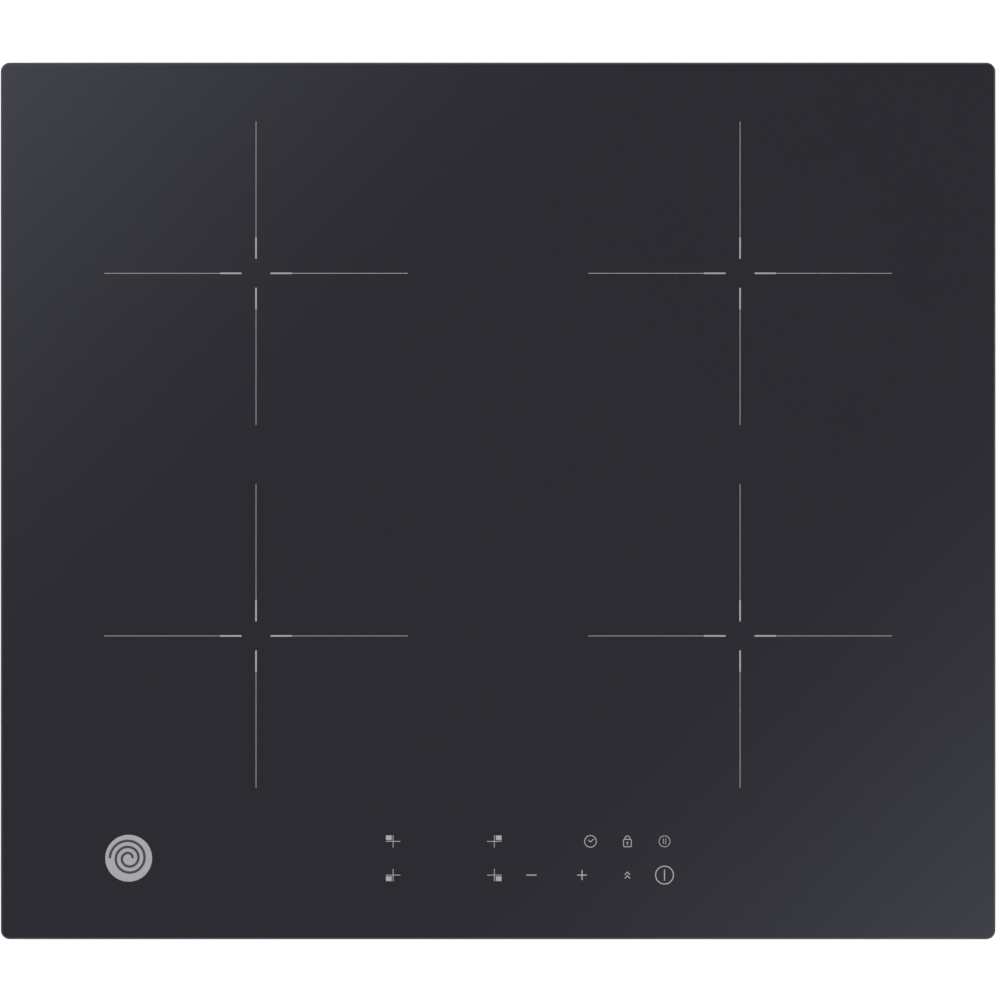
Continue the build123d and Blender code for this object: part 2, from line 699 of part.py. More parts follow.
def power_transistors():
    """Five flat power packages against the outer fin of the heatsink, each on three legs."""
    left = HEATSINK_X[1] + 0.1
    packages = []
    for y in (-125, -90, -55, -20, 20):
        body = cuboid((left, left + 5), (y - 8, y + 8), (BOARD_TOP + 3, BOARD_TOP + 16.5))
        body = chamfer(body.faces().sort_by(Axis.X)[-1].edges(), 0.7)
        legs = [
            cuboid((left + 1.8, left + 2.6), (y + pin - 0.6, y + pin + 0.6), (BOARD_TOP, BOARD_TOP + 3.2))
            for pin in (-5.4, 0, 5.4)
        ]
        packages += (body + legs).solids()
    return packages


def film_capacitors():
    """Three large and four small box capacitors."""
    large, small = (32.0, 20.0, 17.5), (26.0, 12.0, 15.5)
    places = [(large, 128, y) for y in (40, 12, -16)] + [(small, 176, y) for y in (44, 26, 8, -10)]
    return [
        fillet((Pos(x, y, BOARD_TOP + size[2] / 2) * Box(*size)).edges().filter_by(Axis.Z), 1.2)
        for size, x, y in places
    ]


def line_chokes():
    """Two toroidal chokes lying on moulded bases."""
    chokes = []
    for y in (-60, -100):
        base = Pos(188, y, BOARD_TOP + 1) * Cylinder(15, 2)
        core = Pos(188, y, BOARD_TOP + 8.1) * Torus(11.5, 6.2)
        chokes.append(base + core)
    return chokes


# ---------------------------------------------------------------- fans


def fan_outline(inset):
    """A round scroll with a straight outlet towards the heatsink."""
    duct_x = (HEATSINK_X[0] + inset, HEATSINK_X[1] - inset)
    duct_y = (BOARD_Y[1] + 4, FAN_Y)
    duct = Pos(sum(duct_x) / 2, sum(duct_y) / 2) * Rectangle(duct_x[1] - duct_x[0], duct_y[1] - duct_y[0])
    return duct + Pos(FAN_X, FAN_Y) * Circle(FAN_HOUSING_RADIUS - inset)


def fan_housing():
    """The scroll housing, open below and at its outlet, with the fixed pin on which the rotor turns."""
    body = slab(fan_outline(0), FAN_BOTTOM, FAN_TOP)
    lugs = [(x, y) for x, y in fan_lugs() if x > 0]
    body += [post(x, y, FAN_BOTTOM, FAN_BOTTOM + 3, 5) for x, y in lugs]
    hollow = slab(fan_outline(FAN_WALL), FAN_BOTTOM - 1, FAN_TOP - FAN_WALL)
    outlet = cuboid(
        (HEATSINK_X[0] + FAN_WALL, HEATSINK_X[1] - FAN_WALL),
        (BOARD_Y[1], BOARD_Y[1] + 10),
        (FAN_BOTTOM - 1, FAN_TOP - FAN_WALL),
    )
    body -= [hollow, outlet, *[post(x, y, FAN_BOTTOM - 1, FAN_BOTTOM + 4, 1.6) for x, y in lugs]]
    motor = post(FAN_X, FAN_Y, -33.5, FAN_TOP, 12)
    pin = post(FAN_X, FAN_Y, -46.0, -33.0, FAN_PIN)
    return body + motor + pin


def fan_rotor():
    """A centrifugal rotor: hub, back disc, forward-leaning blades and an end ring."""
    hub = post(0, 0, -47.0, ROTOR_TOP, 14)
    hub = fillet(hub.edges().group_by(Axis.Z)[0], 2.5)
    disc = slab(Circle(ROTOR_RADIUS), ROTOR_TOP - 1.4, ROTOR_TOP)
    end_ring = slab(ring(ROTOR_RADIUS, ROTOR_RADIUS - 1.6), ROTOR_BOTTOM, ROTOR_BOTTOM + 1.5)
    blade_outline = Pos(ROTOR_RADIUS - 4.8, 0) * Rot(0, 0, 35) * Rectangle(10, 0.9)
    blade = slab(blade_outline, ROTOR_BOTTOM, ROTOR_TOP - 1)
    blades = [Rot(0, 0, 360 * k / ROTOR_BLADES) * blade for k in range(ROTOR_BLADES)]
    rotor = hub + [disc, end_ring, *blades] - post(0, 0, -46.2, ROTOR_TOP + 1, FAN_BORE)
    return Pos(FAN_X, FAN_Y) * rotor


# ---------------------------------------------------------------- touch control unit


def control_board():
    board = cuboid(CONTROL_X, CONTROL_Y, (CONTROL_TOP - PCB_THICKNESS, CONTROL_TOP))
    notches = [
        cuboid((x - 2, x + 2), (CONTROL_Y[0] - 1, CONTROL_Y[0] + 2), (CONTROL_TOP - 3, CONTROL_TOP + 1))
        for x in (-40, 78)
    ]
    return board - notches


def control_carrier():
    """The moulded cradle under the touch board, standing on the frame's flange and the tray's floor."""
    gap = 0.3
    x = (CONTROL_X[0] - gap - CONTROL_WALL, CONTROL_X[1] + gap + CONTROL_WALL)
    y = (CONTROL_Y[0] - gap - CONTROL_WALL, CONTROL_Y[1] + gap + CONTROL_WALL)
    board_bottom = CONTROL_TOP - PCB_THICKNESS
    cradle = cuboid(x, y, (board_bottom - 4, GLASS_BOTTOM - 0.6))
    cradle -= cuboid(
        (x[0] + CONTROL_WALL, x[1] - CONTROL_WALL),
        (y[0] + CONTROL_WALL, y[1] - CONTROL_WALL),
        (board_bottom - 2, GLASS_BOTTOM),
    )
    for side in (-1, 1):
        slot_x = (side * RIBBON_X - RIBBON_WIDTH / 2 - 1, side * RIBBON_X + RIBBON_WIDTH / 2 + 1)
        slot_y = (RIBBON_RISE_Y - 2, RIBBON_RISE_Y + 2)
        cradle -= cuboid(slot_x, slot_y, (board_bottom - 5, board_bottom))
    ribs = [cuboid((rib - 1, rib + 1), y, (board_bottom - 3, board_bottom)) for rib in (-52, -8, 28, 88)]
    legs = []
    for leg in (-60, 98):
        leg_x = (leg - 6, leg + 6)
        legs.append(cuboid(leg_x, (y[0], y[0] + 9), (PLATE_BOTTOM, board_bottom - 3)))
        legs.append(cuboid(leg_x, (y[1] - 9, y[1]), (TRAY_FLOOR + 0.05, board_bottom - 3)))
    return cradle + ribs + legs


def key_places():
    """The centres of the eleven touch keys."""
    rear = [(x, KEY_ROW_REAR) for x in (SELECTOR_LEFT_X, SELECTOR_RIGHT_X, TIMER_X, LOCK_X, POWER_X)]
    front_x = (SELECTOR_LEFT_X, SELECTOR_RIGHT_X, MINUS_X, PLUS_X, LOCK_X, POWER_X)
    return rear + [(x, KEY_ROW_FRONT) for x in front_x]


def touch_springs():
    """One sensing spring per key, between the touch board and the glass."""
    return [coil_spring(x, y, CONTROL_TOP, GLASS_BOTTOM, 3.4, 0.3, turns=5) for x, y in key_places()]


def display_modules():
    """Four one-digit displays between the zone keys and one two-digit timer display."""
    height = 7.6
    single, double = (9.0, 9.0), (20.0, 9.0)
    places = [(single, x, y) for x in (-46.0, -18.0) for y in (KEY_ROW_REAR, KEY_ROW_FRONT + 0.5)]
    places.append((double, (MINUS_X + PLUS_X) / 2, KEY_ROW_FRONT + 0.5))
    return [Pos(x, y, CONTROL_TOP + height / 2) * Box(w, d, height) for (w, d), x, y in places]


# ---------------------------------------------------------------- worktop brackets


def worktop_bracket():
    """A cranked steel strip that swings under the worktop, with its pivot at the origin and reaching +X."""
    mid = BRACKET_SHEET / 2
    finger_z = -WORKTOP - mid - 0.2
    tab_z = BRACKET_TOP - mid
    leg_x = BRACKET_LEG
    corners = [(0, 0, tab_z), (leg_x, 0, tab_z), (leg_x, 0, finger_z), (BRACKET_REACH, 0, finger_z)]
    line = FilletPolyline(*corners, radius=2.2)
    section = Plane(line @ 0, x_dir=(0, 1, 0), z_dir=line % 0) * Rectangle(BRACKET_WIDTH, BRACKET_SHEET)
    strip = sweep(section, path=line)
    strip += post(0, 0, tab_z - mid, tab_z + mid, BRACKET_WIDTH / 2)
    strip = fillet(strip.edges().filter_by(Axis.Z).group_by(Axis.X)[-1], 5)
    return strip - post(0, 0, tab_z - 2, tab_z + 2, PIVOT_BORE)


def placed_brackets():
    """The four brackets at rest, folded along the casing's sides towards the middle."""
    bracket = worktop_bracket()
    placed = {}
    for name, (x, y) in bracket_places().items():
        towards_middle = -90 if y > 0 else 90
        placed[name] = Pos(x, y) * Rot(0, 0, towards_middle) * bracket
    return placed


def bracket_screws():
    """The pivots of the brackets, driven up into the frame's bottom flange."""
    head_z = BRACKET_TOP - BRACKET_SHEET - 0.1
    return [screw(x, y, head_z, -16.0, 4.2, 2.6, PIVOT_RADIUS) for x, y in bracket_places().values()]


# ---------------------------------------------------------------- mains connection


def terminal_box():
    """The moulded mains box behind the tray, open to the rear where the cover closes it."""
    box = cuboid(BOX_X, BOX_Y, BOX_Z)
    box = fillet(box.edges().filter_by(Axis.Y), 2)
    inner_x = (BOX_X[0] + BOX_WALL, BOX_X[1] - BOX_WALL)
    inner_z = (BOX_Z[0] + BOX_WALL, BOX_Z[1] - BOX_WALL)
    box -= cuboid(inner_x, (BOX_Y[0] + BOX_WALL, BOX_Y[1] - BOX_WALL), inner_z)
    box -= cuboid((COVER_X[0] - 0.5, COVER_X[1] + 0.5), (BOX_Y[1] - 3, BOX_Y[1] + 1), inner_z)
    ear_z = (BOX_Z[0], HINGE_Z + 2.4)
    ears = [
        cuboid(ear_x, (BOX_Y[1] - 2, HINGE_Y + 2.2), ear_z)
        for ear_x in ((COVER_X[0] - 2.4, COVER_X[0] - 0.4), (COVER_X[1] + 0.4, COVER_X[1] + 2.4))
    ]
    middle_x = sum(COVER_X) / 2
    knuckle_x = (COVER_X[0] - 0.4, COVER_X[1] + 0.4)
    bore_length = COVER_X[1] - COVER_X[0] + 10
    cuts = [
        Pos(middle_x, HINGE_Y, HINGE_Z) * Rot(0, 90, 0) * Cylinder(HINGE_BORE, bore_length),
        Pos(CABLE_X, BOX_Y[1], CABLE_Z) * Rot(90, 0, 0) * Cylinder(7.0, 8),
        Pos(185, BOX_Y[0], CABLE_Z) * Rot(90, 0, 0) * Cylinder(5.0, 8),
        cuboid(knuckle_x, (HINGE_Y - 2.3, BOX_Y[1] + 1), (BOX_Z[0] - 1, HINGE_Z + 2.5)),
    ]
    return box + ears - cuts


def terminal_cover():
    """The flap over the terminals: a plate with a rolled lower edge, two hinge pins and a latch tongue."""
    middle_x = sum(COVER_X) / 2
    length = COVER_X[1] - COVER_X[0]
    along_x = Pos(middle_x, HINGE_Y, HINGE_Z) * Rot(0, 90, 0)
    knuckle = along_x * Cylinder(1.9, length)
    pins = along_x * Cylinder(HINGE_PIN, length + 4)
    plate = cuboid(COVER_X, (HINGE_Y, HINGE_Y + 1.9), (HINGE_Z, -25.6))
    grip = cuboid((middle_x - 7, middle_x + 7), (HINGE_Y + 1.9, HINGE_Y + 3.1), (-28, -26.6))
    ribs = [
        cuboid((middle_x + x - 0.6, middle_x + x + 0.6), (HINGE_Y + 1.9, HINGE_Y + 2.5), (HINGE_Z + 4, -30))
        for x in (-20, -10, 0, 10, 20)
    ]
    return knuckle + [pins, plate, grip, *ribs]


def terminal_block():
    """A five-pole block with one clamping screw and one cable entry per pole."""
    y, z = (BOX_Y[0] + BOX_WALL + 0.1, 231.0), (-45.5, -30.5)
    body = cuboid(BLOCK_X, y, z)
    pitch = (BLOCK_X[1] - BLOCK_X[0]) / POLES
    centres = [BLOCK_X[0] + pitch * (k + 0.5) for k in range(POLES)]
    cuts = [Pos(x, y[1], -34.5) * Rot(90, 0, 0) * Cylinder(3.0, 8) for x in centres]
    cuts += [Pos(x, y[1], -41.5) * Rot(90, 0, 0) * Cylinder(2.4, 16) for x in centres]
    groove = cuboid((pitch / 2 - 0.5, pitch / 2 + 0.5), (y[1] - 5, y[1] + 1), z)
    grooves = [Pos(x, 0, 0) * groove for x in centres[:-1]]
    clamp = Pos(0, y[1] - 2.4, -34.5) * Rot(90, 0, 0) * Cylinder(2.8, 3.2)
    clamp -= Pos(0, y[1] - 0.8, -34.5) * Box(4.6, 1.6, 0.8)
    return [body - cuts - grooves, *[Pos(x, 0, 0) * clamp for x in centres]]


def cord_grip():
    """The bush that holds the mains cable in the box's rear wall."""
    wall_y = BOX_Y[1]
    sleeve = Pos(CABLE_X, wall_y - 4.5, CABLE_Z) * Rot(90, 0, 0) * Cylinder(6.95, 9)
    flange = Pos(CABLE_X, wall_y + 3, CABLE_Z) * Rot(90, 0, 0) * Cylinder(9.5, 6)
    flange = chamfer(flange.edges().group_by(Axis.Y)[-1], 1.5)
    bore = Pos(CABLE_X, wall_y, CABLE_Z) * Rot(90, 0, 0) * Cylinder(CABLE_BORE, 40)
    return sleeve + flange - bore


def board_screws():
    """Screws that hold the power boards and the fan housings to the tray."""
    boards = [screw(x, y, BOARD_TOP, TRAY_BOTTOM + 0.1, 3.0, 2.0) for x, y in board_standoffs()]
    fans = [screw(x, y, FAN_BOTTOM + 3, TRAY_BOTTOM + 0.1, 3.0, 2.0) for x, y in fan_lugs()]
    return boards + fans


def mains_wires():
    """Three wires from the terminal block to a plug on the right-hand board."""
    last_y = 75.0
    wires = []
    for lane, (start_x, z) in enumerate(((182.0, -38.6), (185.0, -36.0), (188.0, -38.6))):
        end_x, end_z = 205 + 5 * lane, -42 + lane
        first, turn = (start_x, 216.1, z), (start_x, 200 - 4 * lane, z)
        route = FilletPolyline(first, turn, (end_x, 180, end_z), (end_x, last_y, end_z), radius=6)
        wires.append(swept_wire(route, WIRE_RADIUS))
    plug = cuboid((201.5, 218.5), (last_y - 10, last_y - 0.05), (BOARD_TOP, -36.8))
    return wires + [plug]


def board_links():
    """Two wires across the middle of the hob that feed the left-hand board, and their plugs."""
    end_x = 34.0
    wires = []
    for lane in range(2):
        y, arch_z = 72.0 - 5 * lane, -34.0 - lane
        corners = [(-end_x, y, -40), (-14, y, arch_z), (14, y, arch_z), (end_x, y, -40)]
        wires.append(swept_wire(FilletPolyline(*corners, radius=5), WIRE_RADIUS))
    plug = cuboid((end_x + 0.05, end_x + 8), (63, 76), (BOARD_TOP, -36.8))
    return wires + both_sides(plug)


def control_ribbons():
    """A flat cable from each power board, through the coil plate's leg, up to the touch board."""
    plug_y = (BOARD_Y[0] + 0.5, BOARD_Y[0] + 9)
    run_z = -40.6
    board_bottom = CONTROL_TOP - PCB_THICKNESS
    corners = [(plug_y[0] - 0.05, run_z), (RIBBON_RISE_Y, run_z), (RIBBON_RISE_Y, board_bottom - 0.05)]
    outline = trace(FilletPolyline(*corners, radius=6), RIBBON_THICKNESS)
    section = Plane.YZ.offset(RIBBON_X - RIBBON_WIDTH / 2) * outline
    ribbon = extrude(section, amount=RIBBON_WIDTH)
    plug = cuboid((RIBBON_X - 5, RIBBON_X + 5), plug_y, (BOARD_TOP, run_z + 2))
    return both_sides(ribbon) + both_sides(plug)


def wiring_harness():
    return mains_wires() + board_links() + control_ribbons()


# ---------------------------------------------------------------- assembly


def all_nodes():
    """Every sub-part by its node name."""
    markings = printed_markings()
    nodes = {
        "glass_plate": glass_plate(markings),
        "printed_markings": markings,
        "worktop_seal": worktop_seal(),
        "glass_bond": glass_bond(),
        "upper_frame": upper_frame(),
        "base_tray": base_tray(),
        "tray_screws": tray_screws(),
        "coil_plate_right": coil_plate_right(),
        "coil_plate_left": coil_plate_left(),
        "guide_screws": guide_screws(),
        "power_transistors": [side for body in power_transistors() for side in both_sides(body)],
        "film_capacitors": [side for body in film_capacitors() for side in both_sides(body)],
        "line_chokes": [side for body in line_chokes() for side in both_sides(body)],
        "control_board": control_board(),
        "control_carrier": control_carrier(),
        "touch_springs": touch_springs(),
        "display_modules": display_modules(),
        "bracket_screws": bracket_screws(),
        "terminal_box": terminal_box(),
        "terminal_cover": terminal_cover(),
        "terminal_block": terminal_block(),
        "cord_grip": cord_grip(),
        "board_screws": board_screws(),
        "wiring_harness": wiring_harness(),
    }
    for zone in ZONES:
        nodes[f"coil_former_{zone}"] = coil_former(zone)
        nodes[f"coil_winding_{zone}"] = coil_winding(zone)
        nodes[f"ferrite_bars_{zone}"] = ferrite_bars(zone)
        nodes[f"mica_sheet_{zone}"] = mica_sheet(zone)
        nodes[f"temperature_sensor_{zone}"] = temperature_sensor(zone)
        nodes[f"coil_springs_{zone}"] = coil_springs(zone)
    for name, make in (
        ("power_board", power_board),
        ("heatsink", heatsink),
        ("fan_housing", fan_housing),
        ("fan_rotor", fan_rotor),
    ):
        nodes[f"{name}_right"], nodes[f"{name}_left"] = both_sides(make())
    for name, bracket in placed_brackets().items():
        nodes[f"worktop_bracket_{name}"] = bracket
    return nodes


def write_parts():
    os.makedirs("parts", exist_ok=True)
    for name, shape in all_nodes().items():
        solids = shape if isinstance(shape, list) else [shape]
        whole = Compound([solid for item in solids for solid in item.solids()])
        export_step(whole, f"parts/{name}.step")


write_parts()
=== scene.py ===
import json
import math

import bmesh
import bpy
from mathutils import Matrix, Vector


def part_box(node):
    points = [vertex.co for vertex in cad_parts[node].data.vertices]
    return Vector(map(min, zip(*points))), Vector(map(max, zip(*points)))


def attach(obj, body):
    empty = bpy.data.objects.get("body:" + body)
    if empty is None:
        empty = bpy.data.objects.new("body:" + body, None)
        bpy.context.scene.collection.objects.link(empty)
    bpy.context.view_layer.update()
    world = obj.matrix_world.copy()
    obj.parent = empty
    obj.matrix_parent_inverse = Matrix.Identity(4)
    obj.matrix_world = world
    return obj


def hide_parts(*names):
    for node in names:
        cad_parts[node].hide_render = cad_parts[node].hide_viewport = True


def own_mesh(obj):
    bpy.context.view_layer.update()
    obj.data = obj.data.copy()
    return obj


# Looks of the built-in induction hob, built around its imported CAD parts. Lengths are in metres.
# The origin is the centre of the hob on the worktop's surface: +X right, +Y to the rear, +Z up.

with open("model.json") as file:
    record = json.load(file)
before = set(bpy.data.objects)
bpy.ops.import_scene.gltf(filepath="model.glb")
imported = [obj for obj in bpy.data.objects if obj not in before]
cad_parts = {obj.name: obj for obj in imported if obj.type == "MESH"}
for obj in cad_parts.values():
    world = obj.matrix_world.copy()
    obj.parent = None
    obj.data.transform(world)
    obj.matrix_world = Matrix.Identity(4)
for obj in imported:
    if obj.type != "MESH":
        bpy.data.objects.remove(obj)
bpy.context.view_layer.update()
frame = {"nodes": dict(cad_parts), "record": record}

MM = 0.001
ZONE_NAMES = ("rear_left", "rear_right", "front_left", "front_right")
MATERIALS = {}


# ---------- shader helpers


def fill(tree, socket, value):
    """Links another node's output to a socket, or sets its value; a colour is an RGB triple."""
    if isinstance(value, bpy.types.NodeSocket):
        tree.links.new(value, socket)
    else:
        socket.default_value = (*value, 1) if socket.type == "RGBA" else value


def add(tree, kind, inputs=None, **settings):
    """Adds a shader node and fills its inputs."""
    made = tree.nodes.new("ShaderNode" + kind)
    for key, value in settings.items():
        setattr(made, key, value)
    for key, value in (inputs or {}).items():
        fill(tree, made.inputs[key], value)
    return made


def calc(tree, operation, *values):
    """The result of a maths node."""
    return add(tree, "Math", dict(enumerate(values)), operation=operation).outputs[0]


def place(tree, stretch=(1, 1, 1)):
    """The shaded point in the object's own metres, stretched along the axes."""
    point = add(tree, "TexCoord").outputs["Object"]
    return add(tree, "Mapping", {"Vector": point, "Scale": stretch}).outputs[0]


def axis_parts(tree, vector):
    """The X, Y and Z outputs of a vector."""
    return add(tree, "SeparateXYZ", {0: vector}).outputs


def clouds(tree, size, detail=3.0, stretch=(1, 1, 1)):
    """Noise between 0 and 1 whose features are about the given size."""
    inputs = {"Vector": place(tree, stretch), "Scale": 1 / size, "Detail": detail}
    return add(tree, "TexNoise", inputs).outputs["Fac"]


def cells(tree, size, output="Color"):
    """A Voronoi pattern with cells of about the given size."""
    inputs = {"Vector": place(tree), "Scale": 1 / size}
    return add(tree, "TexVoronoi", inputs).outputs[output]


def ranged(tree, value, low, high, new_low, new_high, smooth=False):
    """Maps one range of values onto another, held at both ends."""
    inputs = {"Value": value, "From Min": low, "From Max": high, "To Min": new_low, "To Max": new_high}
    kind = "SMOOTHSTEP" if smooth else "LINEAR"
    return add(tree, "MapRange", inputs, interpolation_type=kind).outputs["Result"]


def blend_colours(tree, factor, first, second):
    inputs = {"Fac": factor, "Color1": first, "Color2": second}
    return add(tree, "MixRGB", inputs).outputs["Color"]


def blend_values(tree, factor, first, second):
    inputs = {0: factor, 2: first, 3: second}
    return add(tree, "Mix", inputs, data_type="FLOAT").outputs[0]


def relief(tree, height, depth, below=None):
    """A bump of the given depth in metres, laid over another normal if there is one."""
    inputs = {"Height": height, "Distance": depth, "Strength": 1.0}
    if below is not None:
        inputs["Normal"] = below
    return add(tree, "Bump", inputs).outputs["Normal"]


def soft_edges(tree, radius):
    """Normals that round the edges of folded, cast and moulded parts."""
    return add(tree, "Bevel", {"Radius": radius}, samples=4).outputs["Normal"]


def upward(tree):
    """The true normal's vertical part: 1 on a top face, 0 on an upright face, -1 underneath."""
    return axis_parts(tree, add(tree, "NewGeometry").outputs["True Normal"])["Z"]


def new_material(name):
    """Makes a node material, listed in MATERIALS; gives its tree and its Principled shader."""
    made = MATERIALS[name] = bpy.data.materials.new(name)
    made.use_nodes = True
    return made.node_tree, made.node_tree.nodes["Principled BSDF"]


def feed(tree, shader, **inputs):
    """Fills the shader's inputs; an underscore stands for a space."""
    for key, value in inputs.items():
        fill(tree, shader.inputs[key.replace("_", " ")], value)


# ---------- materials


def glass_ceramic():
    """Black glass-ceramic: a mirror-smooth top, a ground and polished edge, a dimpled underside."""
    tree, shader = new_material("glass_ceramic")
    facing = upward(tree)
    edge = ranged(tree, calc(tree, "ABSOLUTE", facing), 0.97, 0.90, 0.0, 1.0)
    under = ranged(tree, facing, -0.90, -0.97, 0.0, 1.0)
    wipe_marks = clouds(tree, 60 * MM, 4, (0.35, 1, 1))
    top_roughness = ranged(tree, wipe_marks, 0.3, 0.7, 0.012, 0.03)
    roughness = calc(tree, "MAXIMUM", top_roughness, calc(tree, "MULTIPLY", edge, 0.16))
    roughness = calc(tree, "MAXIMUM", roughness, calc(tree, "MULTIPLY", under, 0.12))
    body = blend_colours(tree, clouds(tree, 90 * MM), (0.0032, 0.0036, 0.0042), (0.0040, 0.0044, 0.0052))
    body = blend_colours(tree, edge, body, (0.0085, 0.0088, 0.0092))
    dimples = calc(tree, "MULTIPLY", cells(tree, 2.2 * MM, "Distance"), under)
    grinding = calc(tree, "MULTIPLY", clouds(tree, 0.25 * MM, 2, (1, 1, 4)), edge)
    normal = relief(tree, dimples, 0.25 * MM)
    normal = relief(tree, grinding, 0.006 * MM, normal)
    feed(tree, shader, Base_Color=body, Roughness=roughness, IOR=1.60, Normal=normal)
    feed(tree, shader, Specular_Tint=(0.80, 0.80, 1.0))


def enamel_print(name, ink):
    """Screen-printed enamel, fired on: matt, with the screen's fine grain."""
    tree, shader = new_material(name)
    grain = 0.03
    screen = clouds(tree, 0.18 * MM, 2)
    darker = tuple(channel * (1 - 2 * grain) for channel in ink)
    lighter = tuple(channel * (1 + grain) for channel in ink)
    colour = blend_colours(tree, ranged(tree, screen, 0.3, 0.7, 0, 1), darker, lighter)
    normal = relief(tree, screen, 0.004 * MM)
    feed(tree, shader, Base_Color=colour, Roughness=0.48, IOR=1.45, Normal=normal)


def closed_cell_foam():
    """Grey-black foam gasket: small round cells and a slightly open, dusty skin. Each cell is painted
    darker towards the middle of its pit: painted shade.
    """
    tree, shader = new_material("foam_seal")
    pore_relief_and_shade = cells(tree, 0.55 * MM, "Distance")
    large = cells(tree, 1.3 * MM, "Distance")
    dust = ranged(tree, clouds(tree, 9 * MM), 0.55, 0.75, 0, 0.5)
    # painted shade: each cell is darker towards the middle of its pit
    colour = blend_colours(tree, pore_relief_and_shade, (0.030, 0.030, 0.031), (0.075, 0.075, 0.077))
    colour = blend_colours(tree, dust, colour, (0.11, 0.11, 0.11))
    normal = relief(tree, large, 0.12 * MM)
    normal = relief(tree, pore_relief_and_shade, 0.10 * MM, normal)
    feed(tree, shader, Base_Color=colour, Roughness=0.92, Normal=normal)


def silicone(name, colour):
    """Cured silicone: satin, slightly wavy from the nozzle, with fine dust."""
    tree, shader = new_material(name)
    waves = clouds(tree, 7 * MM, 2)
    dust = ranged(tree, clouds(tree, 1.2 * MM, 5), 0.62, 0.75, 0, 0.25)
    pale = tuple(channel * 2.4 + 0.02 for channel in colour)
    normal = relief(tree, waves, 0.25 * MM)
    feed(tree, shader, Base_Color=blend_colours(tree, dust, colour, pale), Roughness=0.38, Normal=normal)


def galvanised_steel():
    """Hot-dip galvanised sheet: crystals of differing grey, frosting, stains, rounded folds."""
    tree, shader = new_material("galvanised_steel")
    warp = add(tree, "TexNoise", {"Vector": place(tree), "Scale": 120.0, "Detail": 2.0})
    parts = {0: place(tree), 1: warp.outputs["Color"], 2: (0.006, 0.006, 0.006)}
    shifted = add(tree, "VectorMath", parts, operation="MULTIPLY_ADD").outputs[0]
    crystals = add(tree, "TexVoronoi", {"Vector": shifted, "Scale": 95.0})
    tone = axis_parts(tree, crystals.outputs["Color"])["X"]
    frost = clouds(tree, 0.8 * MM, 4)
    zinc = blend_colours(tree, tone, (0.41, 0.425, 0.44), (0.63, 0.64, 0.65))
    zinc = blend_colours(tree, ranged(tree, frost, 0.45, 0.75, 0, 0.35), zinc, (0.36, 0.37, 0.385))
    stains = ranged(tree, clouds(tree, 45 * MM, 5), 0.60, 0.78, 0, 0.35)
    zinc = blend_colours(tree, stains, zinc, (0.62, 0.62, 0.60))
    frost_roughness = ranged(tree, frost, 0.3, 0.8, 0, 0.12)
    roughness = calc(tree, "ADD", ranged(tree, tone, 0, 1, 0.30, 0.46), frost_roughness)
    normal = relief(tree, tone, 0.03 * MM, soft_edges(tree, 0.35 * MM))
    normal = relief(tree, frost, 0.012 * MM, normal)
    feed(tree, shader, Base_Color=zinc, Metallic=1.0, Roughness=roughness, Normal=normal)


def plated_steel(name, colour, tint, roughness):
    """Plated screws and springs: bright metal with fine pits and slightly uneven plating."""
    tree, shader = new_material(name)
    plating = ranged(tree, clouds(tree, 2.5 * MM, 4), 0.35, 0.7, 0, 1)
    pits = clouds(tree, 0.12 * MM, 2)
    normal = relief(tree, pits, 0.006 * MM, soft_edges(tree, 0.12 * MM))
    shade = ranged(tree, plating, 0, 1, roughness, roughness + 0.14)
    metal = blend_colours(tree, plating, colour, tint)
    feed(tree, shader, Base_Color=metal, Metallic=1.0, Roughness=shade, Normal=normal)


def aluminium(name, stretch, depth):
    """Aluminium with rolling or extrusion lines along one axis."""
    tree, shader = new_material(name)
    lines = clouds(tree, 0.5 * MM, 3, stretch)
    patches = ranged(tree, clouds(tree, 30 * MM, 3), 0.55, 0.75, 0, 0.3)
    colour = blend_colours(tree, lines, (0.54, 0.55, 0.56), (0.68, 0.685, 0.69))
    colour = blend_colours(tree, patches, colour, (0.48, 0.485, 0.50))
    normal = relief(tree, lines, depth, soft_edges(tree, 0.2 * MM))
    roughness = ranged(tree, lines, 0.2, 0.8, 0.24, 0.42)
    feed(tree, shader, Base_Color=colour, Metallic=1.0, Roughness=roughness, Normal=normal)


def moulding(name, colour, roughness, grain, speckle=0.0):
    """Moulded plastic: a spark-eroded skin, rounded edges, and glass-fibre specks where it has them."""
    tree, shader = new_material(name)
    skin = clouds(tree, grain, 3)
    flow = ranged(tree, clouds(tree, 25 * MM, 3), 0.35, 0.7, 0, 1)
    darker = tuple(channel * 0.82 for channel in colour)
    paler = tuple(channel * 1.35 + 0.03 for channel in colour)
    base = blend_colours(tree, flow, darker, colour)
    fibres = ranged(tree, clouds(tree, 0.25 * MM, 2, (1, 3, 3)), 0.68, 0.76, 0, speckle)
    base = blend_colours(tree, fibres, base, paler)
    normal = relief(tree, skin, grain * 0.10, soft_edges(tree, 0.3 * MM))
    rough = ranged(tree, skin, 0.3, 0.7, roughness - 0.06, roughness + 0.08)
    feed(tree, shader, Base_Color=base, Roughness=rough, Normal=normal)


